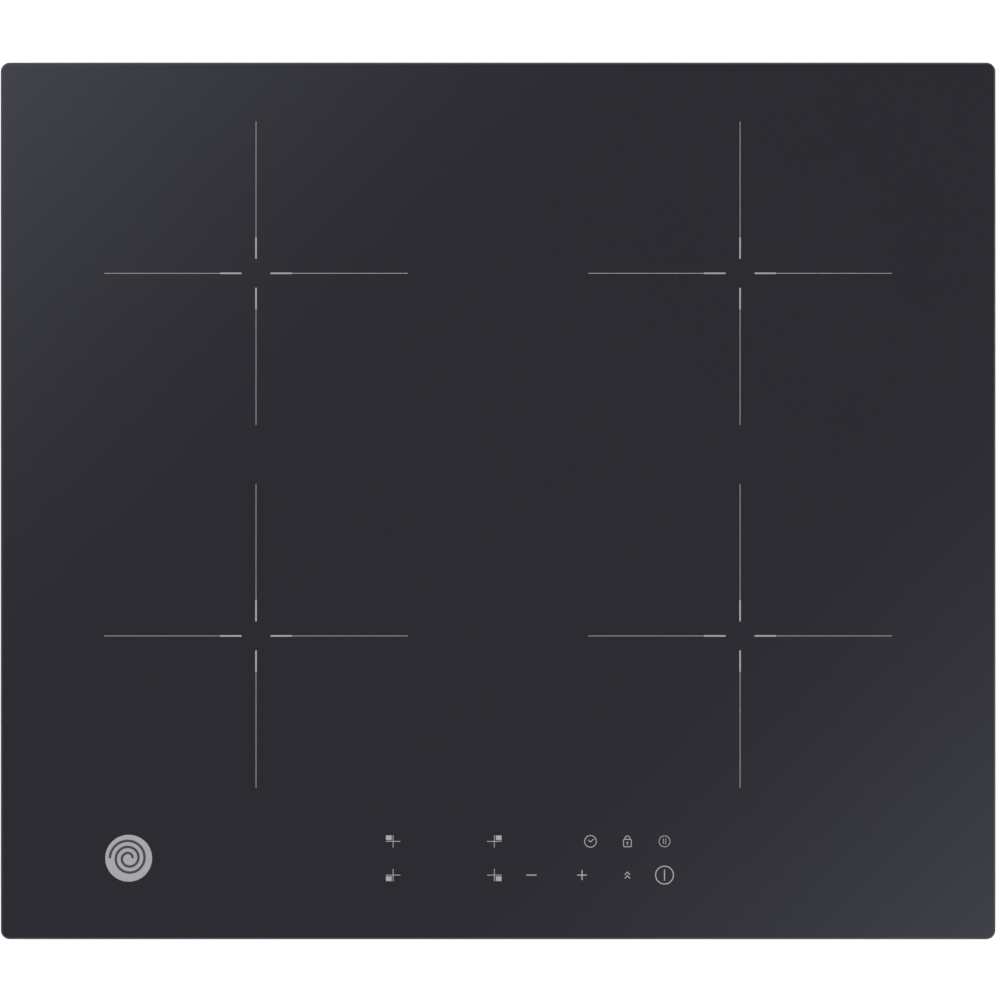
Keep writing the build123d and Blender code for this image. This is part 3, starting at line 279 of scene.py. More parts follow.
def enamelled_copper(name, strands):
    """Enamelled copper, twisted from strands: the mesh's UV runs along and around the wire. The copper is
    painted darker in the hollows between strands (painted shade) and paler along the crests of the fine
    strands (painted highlight).
    """
    tree, shader = new_material(name)
    across = axis_parts(tree, add(tree, "UVMap", uv_map="wire").outputs["UV"])
    turn = calc(tree, "ADD", calc(tree, "MULTIPLY", across["X"], 0.55), across["Y"])
    strand = calc(tree, "SINE", calc(tree, "MULTIPLY", turn, 2 * math.pi * strands))
    fine = calc(tree, "SINE", calc(tree, "MULTIPLY", turn, 2 * math.pi * 5 * strands))
    groove_relief_and_shade = ranged(tree, strand, -1, 1, 0 if strands > 1 else 0.8, 1, smooth=True)
    fine_strands_and_highlight = ranged(tree, fine, -1, 1, 0, 1)
    varnish = ranged(tree, clouds(tree, 14 * MM, 3), 0.35, 0.7, 0, 1)
    # painted shade: the copper is darker in the hollows between the strands
    colour = blend_colours(tree, groove_relief_and_shade, (0.20, 0.062, 0.022), (0.62, 0.235, 0.095))
    # painted highlight: paler copper along the crests of the fine strands
    colour = blend_colours(tree, calc(tree, "MULTIPLY", fine_strands_and_highlight, 0.3), colour, (0.80, 0.40, 0.20))
    colour = blend_colours(tree, calc(tree, "MULTIPLY", varnish, 0.35), colour, (0.36, 0.13, 0.05))
    normal = relief(tree, groove_relief_and_shade, 0.16 * MM)
    normal = relief(tree, fine_strands_and_highlight, 0.03 * MM, normal)
    feed(tree, shader, Base_Color=colour, Metallic=0.85, Roughness=0.36, Normal=normal)
    feed(tree, shader, Coat_Weight=0.5, Coat_Roughness=0.2)


def ferrite(name):
    """Sintered ferrite: charcoal and matt, with pits that are painted darker where they are deepest:
    painted shade.
    """
    tree, shader = new_material(name)
    pits = clouds(tree, 0.6 * MM, 5)
    # painted shade: the colour is darker where the pits are deepest
    colour = blend_colours(tree, pits, (0.028, 0.028, 0.031), (0.075, 0.075, 0.080))
    normal = relief(tree, pits, 0.06 * MM, soft_edges(tree, 0.25 * MM))
    feed(tree, shader, Base_Color=colour, Roughness=0.72, Normal=normal)


def mica():
    """Pressed mica paper: silvery brown, flaky, with a pearly sheen."""
    tree, shader = new_material("mica")
    flakes = cells(tree, 2.4 * MM)
    tone = axis_parts(tree, flakes)["X"]
    stains = ranged(tree, clouds(tree, 18 * MM, 4), 0.5, 0.75, 0, 0.4)
    colour = blend_colours(tree, tone, (0.40, 0.345, 0.25), (0.62, 0.56, 0.44))
    colour = blend_colours(tree, stains, colour, (0.30, 0.24, 0.16))
    normal = relief(tree, tone, 0.02 * MM)
    roughness = ranged(tree, tone, 0, 1, 0.25, 0.5)
    feed(tree, shader, Base_Color=colour, Roughness=roughness, Metallic=0.25, Normal=normal)


def circuit_board(name, mask, mask_over_copper):
    """Solder mask over copper tracks and planes, with bright pads and drilled holes; each hole is a
    near-black disc, painted shade in place of the hole's depth.
    """
    tree, shader = new_material(name)
    grid = {"Vector": place(tree), "Scale": 190.0}
    blocks = add(tree, "TexVoronoi", grid, distance="MANHATTAN")
    tracks = ranged(tree, calc(tree, "PINGPONG", blocks.outputs["Distance"], 0.12), 0.045, 0.06, 0, 1)
    planes = ranged(tree, axis_parts(tree, cells(tree, 28 * MM))["X"], 0.60, 0.62, 0, 1)
    copper = calc(tree, "MAXIMUM", tracks, planes)
    pads = ranged(tree, cells(tree, 5.2 * MM, "Distance"), 0.13, 0.15, 1, 0)
    holes = ranged(tree, cells(tree, 5.2 * MM, "Distance"), 0.055, 0.065, 1, 0)
    colour = blend_colours(tree, copper, mask, mask_over_copper)
    colour = blend_colours(tree, pads, colour, (0.62, 0.60, 0.55))
    # painted shade: each drilled hole is a near-black disc
    colour = blend_colours(tree, holes, colour, (0.01, 0.01, 0.01))
    weave = clouds(tree, 0.4 * MM, 2, (1, 4, 1))
    normal = relief(tree, copper, 0.035 * MM)
    normal = relief(tree, weave, 0.008 * MM, normal)
    feed(tree, shader, Base_Color=colour, Metallic=calc(tree, "MULTIPLY", pads, 0.9), Normal=normal)
    feed(tree, shader, Roughness=ranged(tree, pads, 0, 1, 0.30, 0.22))


def wire_sleeve(name, colour, stripe=None):
    """Insulated wire: a satin sleeve that shows its strands slightly, striped if it has two colours."""
    tree, shader = new_material(name)
    along = axis_parts(tree, add(tree, "UVMap", uv_map="wire").outputs["UV"])
    strands = 6
    turn = calc(tree, "ADD", along["X"], along["Y"])
    ripple = calc(tree, "SINE", calc(tree, "MULTIPLY", turn, 2 * math.pi * strands))
    handling = ranged(tree, clouds(tree, 8 * MM), 0.3, 0.7, 0, 0.25)
    base = blend_colours(tree, handling, colour, (0.20, 0.20, 0.20))
    if stripe:
        base = blend_colours(tree, ranged(tree, along["Y"], 0.60, 0.62, 0, 1), base, stripe)
    normal = relief(tree, ripple, 0.02 * MM)
    feed(tree, shader, Base_Color=base, Roughness=0.42, Normal=normal)


def make_materials():
    """Makes every material; those of CAD nodes have the names of the record's slots."""
    glass_ceramic()
    enamel_print("enamel_print", (0.207, 0.209, 0.219))
    enamel_print("emblem_print", (0.204, 0.206, 0.215))
    enamel_print("emblem_groove", (0.013, 0.014, 0.016))
    closed_cell_foam()
    silicone("silicone", (0.018, 0.018, 0.019))
    silicone("grip_rubber", (0.024, 0.024, 0.025))
    silicone("sensor_silicone", (0.62, 0.62, 0.60))
    galvanised_steel()
    plated_steel("zinc_screws", (0.66, 0.67, 0.68), (0.60, 0.59, 0.52), 0.22)
    plated_steel("spring_steel", (0.62, 0.62, 0.63), (0.50, 0.50, 0.52), 0.18)
    aluminium("aluminium_sheet", (0.03, 1, 1), 0.010 * MM)
    aluminium("aluminium_extrusion", (1, 0.02, 1), 0.020 * MM)
    moulding("former_plastic", (0.62, 0.58, 0.49), 0.52, 0.30 * MM, 0.5)
    enamelled_copper("litz_copper", strands=7)
    ferrite("ferrite")
    mica()
    circuit_board("circuit_board", (0.010, 0.085, 0.032), (0.020, 0.155, 0.055))
    circuit_board("control_board", (0.008, 0.020, 0.050), (0.014, 0.042, 0.100))
    moulding("package_black", (0.022, 0.022, 0.024), 0.46, 0.12 * MM, 0.1)
    moulding("capacitor_case", (0.045, 0.13, 0.36), 0.30, 0.5 * MM)
    ferrite("choke")
    moulding("fan_plastic", (0.020, 0.020, 0.022), 0.48, 0.28 * MM, 0.25)
    moulding("rotor_plastic", (0.050, 0.050, 0.054), 0.44, 0.22 * MM, 0.25)
    moulding("carrier_plastic", (0.56, 0.56, 0.54), 0.50, 0.30 * MM, 0.2)
    moulding("display_plastic", (0.016, 0.016, 0.018), 0.22, 0.40 * MM)
    moulding("box_plastic", (0.040, 0.041, 0.043), 0.50, 0.35 * MM, 0.2)
    moulding("block_plastic", (0.66, 0.65, 0.58), 0.40, 0.30 * MM)
    moulding("plug_nylon", (0.70, 0.69, 0.62), 0.38, 0.25 * MM)
    moulding("unlit_segments", (0.090, 0.075, 0.074), 0.30, 0.20 * MM)
    enamelled_copper("choke_wire", strands=1)
    wire_sleeve("wire_brown", (0.110, 0.038, 0.016))
    wire_sleeve("wire_blue", (0.020, 0.090, 0.330))
    wire_sleeve("wire_earth", (0.060, 0.240, 0.035), (0.62, 0.50, 0.03))
    wire_sleeve("wire_grey", (0.330, 0.330, 0.335))
    wire_sleeve("wire_red", (0.420, 0.022, 0.018))


def dress_cad_nodes():
    """Gives every CAD node the material of its slot in the record; the wires start out grey."""
    slots = {part["node"]: part["material_slot"] for part in frame["record"]["subparts"]}
    for name, node in frame["nodes"].items():
        look = "wire_grey" if slots[name] == "wire_insulation" else slots[name]
        node.data.materials.clear()
        node.data.materials.append(MATERIALS[look])


make_materials()
dress_cad_nodes()


# ---------- mesh helpers


def into_scene(name, data):
    """A new object in the scene for a mesh, a light or a camera."""
    made = bpy.data.objects.new(name, data)
    bpy.context.scene.collection.objects.link(made)
    return made


def mesh_object(name, shell, looks):
    """Turns a bmesh into an object with the materials of the given names."""
    mesh = bpy.data.meshes.new(name)
    shell.to_mesh(mesh)
    shell.free()
    for look in looks:
        mesh.materials.append(MATERIALS[look])
    return into_scene(name, mesh)


def make_piece(name, shell, slot, stands_for=(), looks=None, body="casing"):
    """Makes a piece of the hob from a bmesh: it rides on a body and may stand for CAD nodes."""
    bmesh.ops.recalc_face_normals(shell, faces=shell.faces)
    piece = mesh_object(name, shell, looks or [slot])
    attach(piece, body)
    if stands_for:
        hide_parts(*stands_for)
    return piece


def smooth(piece, degrees):
    """Smooth shading with sharp edges above an angle; faces of many corners stay flat."""
    limit = math.radians(degrees)
    shell = bmesh.new()
    shell.from_mesh(piece.data)
    for face in shell.faces:
        face.smooth = len(face.verts) <= 4
    for edge in shell.edges:
        if len(edge.link_faces) == 2 and edge.calc_face_angle(0) > limit:
            edge.smooth = False
    shell.to_mesh(piece.data)
    shell.free()


def bridge(shell, ring, following):
    """The faces between two rings that have equally many corners."""
    corners = zip(ring, ring[1:] + ring[:1], following[1:] + following[:1], following)
    return [shell.faces.new(four) for four in corners]


def prism(shell, outline, low, high, material=0):
    """A flat polygon given by its corners, as a closed solid between two heights."""
    bottom, top = ([shell.verts.new((x, y, z)) for x, y in outline] for z in (low, high))
    for face in [shell.faces.new(bottom), shell.faces.new(top), *bridge(shell, bottom, top)]:
        face.material_index = material


def band(shell, outer, inner, low, high):
    """The closed solid between two outlines that have equally many corners."""
    edges = ((outer, low), (outer, high), (inner, high), (inner, low))
    rings = [[shell.verts.new((x, y, z)) for x, y in outline] for outline, z in edges]
    for ring, following in zip(rings, rings[1:] + rings[:1]):
        bridge(shell, ring, following)


def in_metres(points):
    """Points given in millimetres, in metres."""
    return [tuple(part * MM for part in point) for point in points]


def polar(radius, angle, x=0.0, y=0.0):
    """The point at a distance and an angle from a centre."""
    return x + radius * math.cos(angle), y + radius * math.sin(angle)


def circle_points(radius, count=64, x=0.0, y=0.0):
    return [polar(radius, 2 * math.pi * k / count, x, y) for k in range(count)]


def rounded_points(width, depth, radius, steps=8):
    """The corners of a rounded rectangle, anticlockwise, with an arc at each corner."""
    points = []
    for quarter, (side_x, side_y) in enumerate(((1, 1), (-1, 1), (-1, -1), (1, -1))):
        centre_x, centre_y = side_x * (width / 2 - radius), side_y * (depth / 2 - radius)
        for k in range(steps + 1):
            points.append(polar(radius, math.pi / 2 * (quarter + k / steps), centre_x, centre_y))
    return points


def stroke_points(line, width):
    """The outline of a bent line of constant width with mitred bends."""
    left, right = [], []
    for k, point in enumerate(line):
        before = Vector(line[max(k - 1, 0)])
        after = Vector(line[min(k + 1, len(line) - 1)])
        here = Vector(point)
        first = (here - before).normalized() if k else (after - here).normalized()
        second = (after - here).normalized() if k < len(line) - 1 else first
        middle = (first + second).normalized()
        mitre = Vector((-middle.y, middle.x)) * (width / 2 / max(middle.dot(first), 0.3))
        left.append(tuple(here + mitre))
        right.append(tuple(here - mitre))
    return left + right[::-1]


def moved(outline, x, y, turn=0.0):
    """An outline turned about the origin and moved."""
    along, across = math.cos(turn), math.sin(turn)
    return [(x + along * px - across * py, y + across * px + along * py) for px, py in outline]


def tube(shell, points, radius, sides=10, closed=False, material=0):
    """A round tube along points, with a UV that runs along it and around it in diameters and turns."""
    layer = shell.loops.layers.uv.get("wire") or shell.loops.layers.uv.new("wire")
    points = [Vector(p) for p in points]
    count = len(points)
    tangents = []
    for k in range(count):
        ahead = points[(k + 1) % count] if closed or k < count - 1 else points[k]
        behind = points[k - 1] if closed or k > 0 else points[k]
        tangents.append((ahead - behind).normalized())
    across = tangents[0].orthogonal().normalized()
    rings, lengths, length = [], [], 0.0
    for k, (point, tangent) in enumerate(zip(points, tangents)):
        across = (across - tangent * across.dot(tangent)).normalized()
        up = tangent.cross(across)
        if k:
            length += (point - points[k - 1]).length
        lengths.append(length / (2 * radius))
        angles = [2 * math.pi * n / sides for n in range(sides)]
        spokes = [radius * (math.cos(a) * across + math.sin(a) * up) for a in angles]
        rings.append([shell.verts.new(point + spoke) for spoke in spokes])
    for k in range(count if closed else count - 1):
        for n, face in enumerate(bridge(shell, rings[k], rings[(k + 1) % count])):
            face.material_index = material
            face.smooth = True
            far = lengths[k + 1] if k + 1 < count else length / (2 * radius)
            corners = ((lengths[k], n), (lengths[k], n + 1), (far, n + 1), (far, n))
            for loop, (u, v) in zip(face.loops, corners):
                loop[layer].uv = (u, v / sides)
    if not closed:
        for ring in (rings[0], rings[-1]):
            shell.faces.new(ring).material_index = material


def lathe(shell, profile, centre, axis="Z", steps=48):
    """A closed profile of (radius, height) pairs turned about an axis through a point."""
    rings = []
    for radius, height in profile:
        ring = []
        for k in range(steps):
            a, b = polar(radius, 2 * math.pi * k / steps)
            offset = Vector((a, b, height)) if axis == "Z" else Vector((a, height, -b))
            ring.append(shell.verts.new(Vector(centre) + offset))
        rings.append(ring)
    for ring, following in zip(rings, rings[1:] + rings[:1]):
        for face in bridge(shell, ring, following):
            face.smooth = True


def framed_loft(shell, width, depth, radius, profile, capped, corner_steps=10, edge_steps=1):
    """Rings of a rounded rectangle, each (inset, height), joined in order and capped or closed."""
    rings = []
    for inset, height in profile:
        corner = max(radius - inset, 0.4 * MM)
        outline = rounded_points(width - 2 * inset, depth - 2 * inset, corner, corner_steps)
        rings.append([shell.verts.new((x, y, height)) for x, y in subdivided(outline, edge_steps)])
    if capped:
        shell.faces.new(rings[0])
        shell.faces.new(rings[-1])
    else:
        rings.append(rings[0])
    for ring, following in zip(rings, rings[1:]):
        bridge(shell, ring, following)


def subdivided(outline, steps):
    """Adds evenly spaced points along an outline's long straight edges."""
    points = []
    for k, (x, y) in enumerate(outline):
        next_x, next_y = outline[(k + 1) % len(outline)]
        cuts = steps if math.hypot(next_x - x, next_y - y) > 50 * MM else 1
        points += [(x + (next_x - x) * n / cuts, y + (next_y - y) * n / cuts) for n in range(cuts)]
    return points


def cushioned(low, high, bulge):
    """A soft profile between two (inset, height) corners, with its sides bulging outwards."""
    (inset_0, z_0), (inset_1, z_1) = low, high
    profile = []
    for side, inset in ((1, inset_1), (-1, inset_0)):
        for k in range(5):
            share = k / 4
            height = z_0 + (z_1 - z_0) * (share if side > 0 else 1 - share)
            curve = math.sin(math.pi * share) * bulge - bulge
            profile.append((inset + side * curve, height))
    return profile


# ---------- glass plate


def glass_plate():
    low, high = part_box("glass_plate")
    size = high - low
    corner = 5.5 * MM
    bevel, arris, foot = 0.80 * MM, 0.16 * MM, 0.40 * MM
    profile = [
        (foot + arris, low.z),
        (foot, low.z + 0.02 * MM),
        (0.05 * MM, low.z + foot - 0.05 * MM),
        (0.0, low.z + foot + 0.1 * MM),
        (0.0, high.z - bevel - arris),
        (0.03 * MM, high.z - bevel + 0.02 * MM),
        (bevel * 0.5, high.z - bevel * 0.5),
        (bevel - 0.02 * MM, high.z - 0.03 * MM),
        (bevel + arris, high.z),
    ]
    shell = bmesh.new()
    framed_loft(shell, size.x, size.y, corner, profile, capped=True, corner_steps=14)
    smooth(make_piece("glass_top", shell, "glass_ceramic", ["glass_plate"]), 30)


glass_plate()


# ---------- printed markings


PRINT_HEIGHT = 0.02 * MM
ZONE_X = 143.5 * MM
ZONE_Y = {"rear": 135.0 * MM, "front": -80.0 * MM}
KEY_ROWS = {"rear": -201.8 * MM, "front": -221.8 * MM}
KEY_COLUMNS = {
    "left_zone": -62.2 * MM, "right_zone": -2.2 * MM, "minus": 19.8 * MM, "plus": 49.8 * MM,
    "timer": 54.8 * MM, "lock": 76.7 * MM, "power": 98.7 * MM,
}
ICON_LINE = 0.5 * MM
SIGN_LINE = 0.65 * MM


def zone_arm():
    """One arm of a zone's cross: a thick inner line that turns thin."""
    start, change, end = 8.6 * MM, 21.3 * MM, 90.0 * MM
    thick, thin = 0.46 * MM, 0.17 * MM
    upper = [(start, thick), (change, thick), (change, thin), (end, thin)]
    return upper + [(x, -y) for x, y in reversed(upper)]


def plus_outline(half_width, half_height, line):
    """A cross as one twelve-cornered outline."""
    half = line / 2
    quarter = [(half_width, half), (half, half), (half, half_height)]
    upper = quarter + [(-x, y) for x, y in reversed(quarter)]
    return upper + [(-x, -y) for x, y in upper]


def rectangle(width, height, x=0.0, y=0.0):
    return [(x + sx * width / 2, y + sy * height / 2) for sx, sy in ((-1, -1), (1, -1), (1, 1), (-1, 1))]


def half_ring(outer, inner, foot):
    """An arch: half a ring with straight feet."""
    steps = 24
    angles = [math.pi * k / steps for k in range(steps + 1)]
    outside = [polar(outer, angle) for angle in angles]
    inside = [polar(inner, angle) for angle in reversed(angles)]
    return [(outer, -foot), *outside, (-outer, -foot), (-inner, -foot), *inside, (inner, -foot)]


def zone_crosses(flat):
    for side in (-1, 1):
        for row in ZONE_Y.values():
            for quarter in range(4):
                flat(zone_arm(), side * ZONE_X, row, quarter * math.pi / 2)


def selector_keys(flat):
    """A small cross for each zone, with a square in the quarter where the zone lies."""
    line = 0.42 * MM
    for column, side_x in (("left_zone", -1), ("right_zone", 1)):
        for row, side_y in (("rear", 1), ("front", -1)):
            x, y = KEY_COLUMNS[column], KEY_ROWS[row]
            flat(plus_outline(4.3 * MM, 3.65 * MM, line), x, y)
            flat(rectangle(3.4 * MM, 2.8 * MM, side_x * 2.6 * MM, side_y * 2.15 * MM), x, y)


def level_keys(flat):
    """The minus and the plus."""
    flat(rectangle(6.1 * MM, SIGN_LINE), KEY_COLUMNS["minus"], KEY_ROWS["front"])
    flat(plus_outline(2.95 * MM, 2.95 * MM, SIGN_LINE), KEY_COLUMNS["plus"], KEY_ROWS["front"])


def timer_key(flat, hollow):
    """A clock face with two hands."""
    x, y, radius = KEY_COLUMNS["timer"], KEY_ROWS["rear"], 3.7 * MM
    hollow(circle_points(radius), circle_points(radius - ICON_LINE), x, y)
    hands = [(-1.3 * MM, 0.85 * MM), (0, -0.35 * MM), (1.95 * MM, 1.35 * MM)]
    flat(stroke_points(hands, ICON_LINE), x, y)


def lock_key(flat, hollow):
    """A padlock with its keyhole."""
    x, y = KEY_COLUMNS["lock"], KEY_ROWS["rear"] - 1.0 * MM
    width, height, arch = 5.1 * MM, 4.9 * MM, 1.75 * MM
    inside = rounded_points(width - 2 * ICON_LINE, height - 2 * ICON_LINE, 0.4 * MM)
    hollow(rounded_points(width, height, 0.9 * MM), inside, x, y)
    shackle = half_ring(arch, arch - ICON_LINE, 0.3 * MM)
    flat(shackle, x, y + height / 2 + 0.25 * MM)
    flat(circle_points(0.52 * MM, 24), x, y + 0.3 * MM)
    flat(rectangle(0.4 * MM, 1.05 * MM), x, y - 0.72 * MM)


def pause_key(flat, hollow):
    """Two bars in a ring."""
    x, y = KEY_COLUMNS["power"], KEY_ROWS["rear"]
    radius, line = 3.45 * MM, 0.42 * MM
    hollow(circle_points(radius), circle_points(radius - line), x, y)
    for offset in (-0.7 * MM, 0.7 * MM):
        flat(rectangle(line, 3.2 * MM, offset), x, y)


def boost_key(flat):
    """Two upward chevrons."""
    x, y = KEY_COLUMNS["lock"], KEY_ROWS["front"]
    chevron = [(-1.5 * MM, -0.9 * MM), (0, 0.7 * MM), (1.5 * MM, -0.9 * MM)]
    for lift in (-1.1 * MM, 1.1 * MM):
        flat(stroke_points(chevron, 0.6 * MM), x, y + lift)


def power_key(flat, hollow):
    """A bar in a large ring."""
    x, y, radius = KEY_COLUMNS["power"], KEY_ROWS["front"], 5.6 * MM
    hollow(circle_points(radius, 80), circle_points(radius - SIGN_LINE, 80), x, y)
    flat(rectangle(SIGN_LINE, 6.7 * MM), x, y)


def printed_markings():
    """Zone crosses and key symbols, each a thin closed solid on the glass."""
    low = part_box("glass_plate")[1].z
    high = low + PRINT_HEIGHT
    shell = bmesh.new()

    def flat(outline, x, y, turn=0.0):
        prism(shell, moved(outline, x, y, turn), low, high)

    def hollow(outer, inner, x, y):
        band(shell, moved(outer, x, y), moved(inner, x, y), low, high)

    zone_crosses(flat)
    selector_keys(flat)
    level_keys(flat)
    timer_key(flat, hollow)
    lock_key(flat, hollow)
    pause_key(flat, hollow)
    boost_key(flat)
    power_key(flat, hollow)
    make_piece("printed_symbols", shell, "enamel_print", ["printed_markings"])


def emblem():
    """A plain printed disc with a dark spiral, a generic sign for an induction coil."""
    x, y, radius = -219.0 * MM, -211.8 * MM, 13.9 * MM
    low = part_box("glass_plate")[1].z
    middle, high = low + PRINT_HEIGHT, low + 1.5 * PRINT_HEIGHT
    disc = bmesh.new()
    prism(disc, circle_points(radius, 128, x, y), low, middle)
    make_piece("emblem_disc", disc, "enamel_print", looks=["emblem_print"])
    turns, inner, outer, steps = 2.5, 2.2 * MM, 11.2 * MM, 140
    line_width, overlap = 1.5 * MM, 0.005 * MM
    line = []
    for k in range(steps + 1):
        share = k / steps
        reach = inner + (outer - inner) * share
        line.append(polar(reach, 2 * math.pi * turns * share, x, y))
    spiral = bmesh.new()
    prism(spiral, stroke_points(line, line_width), middle - overlap, high)
    make_piece("emblem_spiral", spiral, "enamel_print", looks=["emblem_groove"])


printed_markings()
emblem()


# ---------- seal and bond


def soft_frames():
    """The foam gasket and the silicone bead, each a soft closed ring that bulges between its faces."""
    for node, name, slot, width, bulge in (
        ("worktop_seal", "foam_gasket", "foam_seal", 9.0 * MM, 0.35 * MM),
        ("glass_bond", "silicone_bead", "silicone", 8.0 * MM, 0.30 * MM),
    ):
        low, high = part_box(node)
        size = high - low
        shell = bmesh.new()
        profile = cushioned((0.0, low.z), (width, high.z), bulge)
        framed_loft(shell, size.x, size.y, 5.0 * MM, profile, capped=False, edge_steps=24)
        smooth(make_piece(name, shell, slot, [node]), 60)


soft_frames()


# ---------- coils and springs


COIL_LUG_RADIUS = 95.0 * MM


def zone_centre(zone):
    low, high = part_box(f"mica_sheet_{zone}")
    return (low.x + high.x) / 2, (low.y + high.y) / 2


def lug_places(zone):
    """The three guide screws round a coil, one of them towards the middle of the hob's depth."""
    x, y = zone_centre(zone)
    degrees = (30, 150, 270) if zone.startswith("rear") else (-30, -150, 90)
    return [polar(COIL_LUG_RADIUS, math.radians(angle), x, y) for angle in degrees]


def spring_line(x, y, low, high, radius, wire):
    """The centre line of a compression spring whose first and last turns are closed."""
    turns, closed, steps = 4, 0.9, 20
    closed_rise = 2 * wire * closed
    free_rise = high - low - 2 * wire - 2 * closed_rise
    points = []
    for k in range(int((turns + 2 * closed) * steps) + 1):
        turn = k / steps
        free = min(max(turn - closed, 0.0), turns)
        height = low + wire + (turn - free) * 2 * wire + free / turns * free_rise
        points.append((*polar(radius, 2 * math.pi * turn, x, y), height))
    return points


def coil_springs(zone):
    """The springs under one coil."""
    node = f"coil_springs_{zone}"
    low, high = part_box(node)
    radius, wire = 4.0 * MM, 0.45 * MM
    shell = bmesh.new()
    for x, y in lug_places(zone):
        tube(shell, spring_line(x, y, low.z, high.z, radius, wire), wire)
    piece = make_piece(f"carrying_springs_{zone}", shell, "spring_steel", [node])
    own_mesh(piece)


def litz_winding(zone):
    """A flat spiral of twisted litz wire whose two ends turn down through the former."""
    x, y = zone_centre(zone)
    node = f"coil_winding_{zone}"
    wire, pitch, inner, half_turns, steps = 1.5 * MM, 3.4 * MM, 21.0 * MM, 36, 24
    bottom, top = (corner.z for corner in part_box(node))
    level = top - wire
    bend = 4.0 * MM
    quarter = [math.pi / 2 * k / 8 for k in range(9)]
    points = [(x + inner, y - bend, bottom)]
    points += [(x + inner, y - bend * math.cos(a), level - bend * (1 - math.sin(a))) for a in quarter]
    for n in range(half_turns):
        centre_x = x + (pitch / 2 if n % 2 else 0.0)
        radius = inner + n * pitch / 2
        for k in range(1, steps + 1):
            angle = math.pi * (n % 2 + k / steps)
            points.append((*polar(radius, angle, centre_x, y), level))
    outer_x = points[-1][0]
    points += [(outer_x, y + bend * math.sin(a), level - bend * (1 - math.cos(a))) for a in quarter[1:]]
    points.append((outer_x, y + bend, bottom))
    shell = bmesh.new()
    tube(shell, points, wire)
    make_piece(f"litz_spiral_{zone}", shell, "litz_copper", [node], body=f"coil_{zone}")


def touch_springs():
    """The sensing springs between the touch board and the glass, one under each key."""
    low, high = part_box("touch_springs")
    radius, wire = 3.4 * MM, 0.3 * MM
    columns = {
        "rear": ("left_zone", "right_zone", "timer", "lock", "power"),
        "front": ("left_zone", "right_zone", "minus", "plus", "lock", "power"),
    }
    shell = bmesh.new()
    for row, names in columns.items():
        for name in names:
            line = spring_line(KEY_COLUMNS[name], KEY_ROWS[row], low.z, high.z, radius, wire)
            tube(shell, line, wire, sides=8)
    make_piece("sensing_springs", shell, "spring_steel", ["touch_springs"])


for zone_name in ZONE_NAMES:
    coil_springs(zone_name)
    litz_winding(zone_name)
touch_springs()


# ---------- chokes, displays, plugs and wires


BOARD_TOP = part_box("power_board_right")[1].z


def bevelled_box(shell, low, high, bevel):
    """A moulded block between two corners, with rounded edges."""
    corners = bmesh.ops.create_cube(shell, size=1.0)["verts"]
    for vert in corners:
        vert.co = Vector([(low, high)[share > 0][axis] for axis, share in enumerate(vert.co)])
    edges = list(dict.fromkeys(edge for vert in corners for edge in vert.link_edges))
    bmesh.ops.bevel(shell, geom=edges, offset=bevel, segments=3, profile=0.5, affect="EDGES")


def toroid_winding(x, y, z, radius, half_width, half_height, turns):
    """The line of a wire wound evenly round a ring of oval section."""
    steps = 16
    points = []
    for k in range(turns * steps):
        around = 2 * math.pi * k / (turns * steps)
        across = 2 * math.pi * k / steps
        reach = radius + half_width * math.cos(across)
        lift = half_height * math.sin(across)
        points.append((*polar(reach, around, x, y), z + lift))
    return points


def line_chokes():
    """Ferrite rings wound with thick enamelled wire, each lying on a moulded base."""
    bases, cores, windings = bmesh.new(), bmesh.new(), bmesh.new()
    base_height, core_lift, radius, wire = 2.0 * MM, 8.1 * MM, 11.5 * MM, 0.6 * MM
    base_section = in_metres([(3.0, 0.0), (14.7, 0.0), (15.0, 0.3), (15.0, 1.7), (14.7, 2.0), (3.0, 2.0)])
    core_section = [(radius + a, b) for a, b in rounded_points(9.2 * MM, 9.8 * MM, 1.6 * MM, 4)]
    wound_width, wound_height = 5.4 * MM, 5.5 * MM
    core_z = BOARD_TOP + core_lift
    for x in (-188.0 * MM, 188.0 * MM):
        for y in (-60.0 * MM, -100.0 * MM):
            lathe(bases, base_section, (x, y, BOARD_TOP))
            lathe(cores, core_section, (x, y, core_z))
            line = toroid_winding(x, y, core_z, radius, wound_width, wound_height, turns=24)
            tube(windings, line, wire, sides=8, closed=True)
            for lead in (-4.0 * MM, 4.0 * MM):
                lead_top = (x + lead, y - radius, core_z - wound_height)
                lead_foot = (x + lead, y - radius, BOARD_TOP + base_height / 2)
                tube(windings, [lead_top, lead_foot], wire, sides=8)
    smooth(make_piece("choke_bases", bases, "choke", looks=["package_black"]), 30)
    make_piece("choke_windings", windings, "choke", looks=["choke_wire"])
    smooth(make_piece("choke_cores", cores, "choke", ["line_chokes"]), 40)


def segment_points(length, width):
    """One segment of a digit: a bar with pointed ends."""
    tip, edge = length / 2, width / 2
    shoulder = tip - edge
    lower = [(-tip, 0), (-shoulder, -edge), (shoulder, -edge)]
    return lower + [(-x, -y) for x, y in lower]


def digit(shell, x, y, z):
    """The seven unlit segments of a digit."""
    width, height, line = 3.2 * MM, 5.8 * MM, 0.7 * MM
    gap, thickness = 0.25 * MM, 0.03 * MM
    flat = segment_points(width - gap, line)
    upright = segment_points(height / 2 - gap, line)
    outlines = [moved(flat, x, y + row * height / 2) for row in (-1, 0, 1)]
    for side in (-1, 1):
        for row in (-1, 1):
            outlines.append(moved(upright, x + side * width / 2, y + row * height / 4, math.pi / 2))
    for outline in outlines:
        prism(shell, outline, z, z + thickness, material=1)


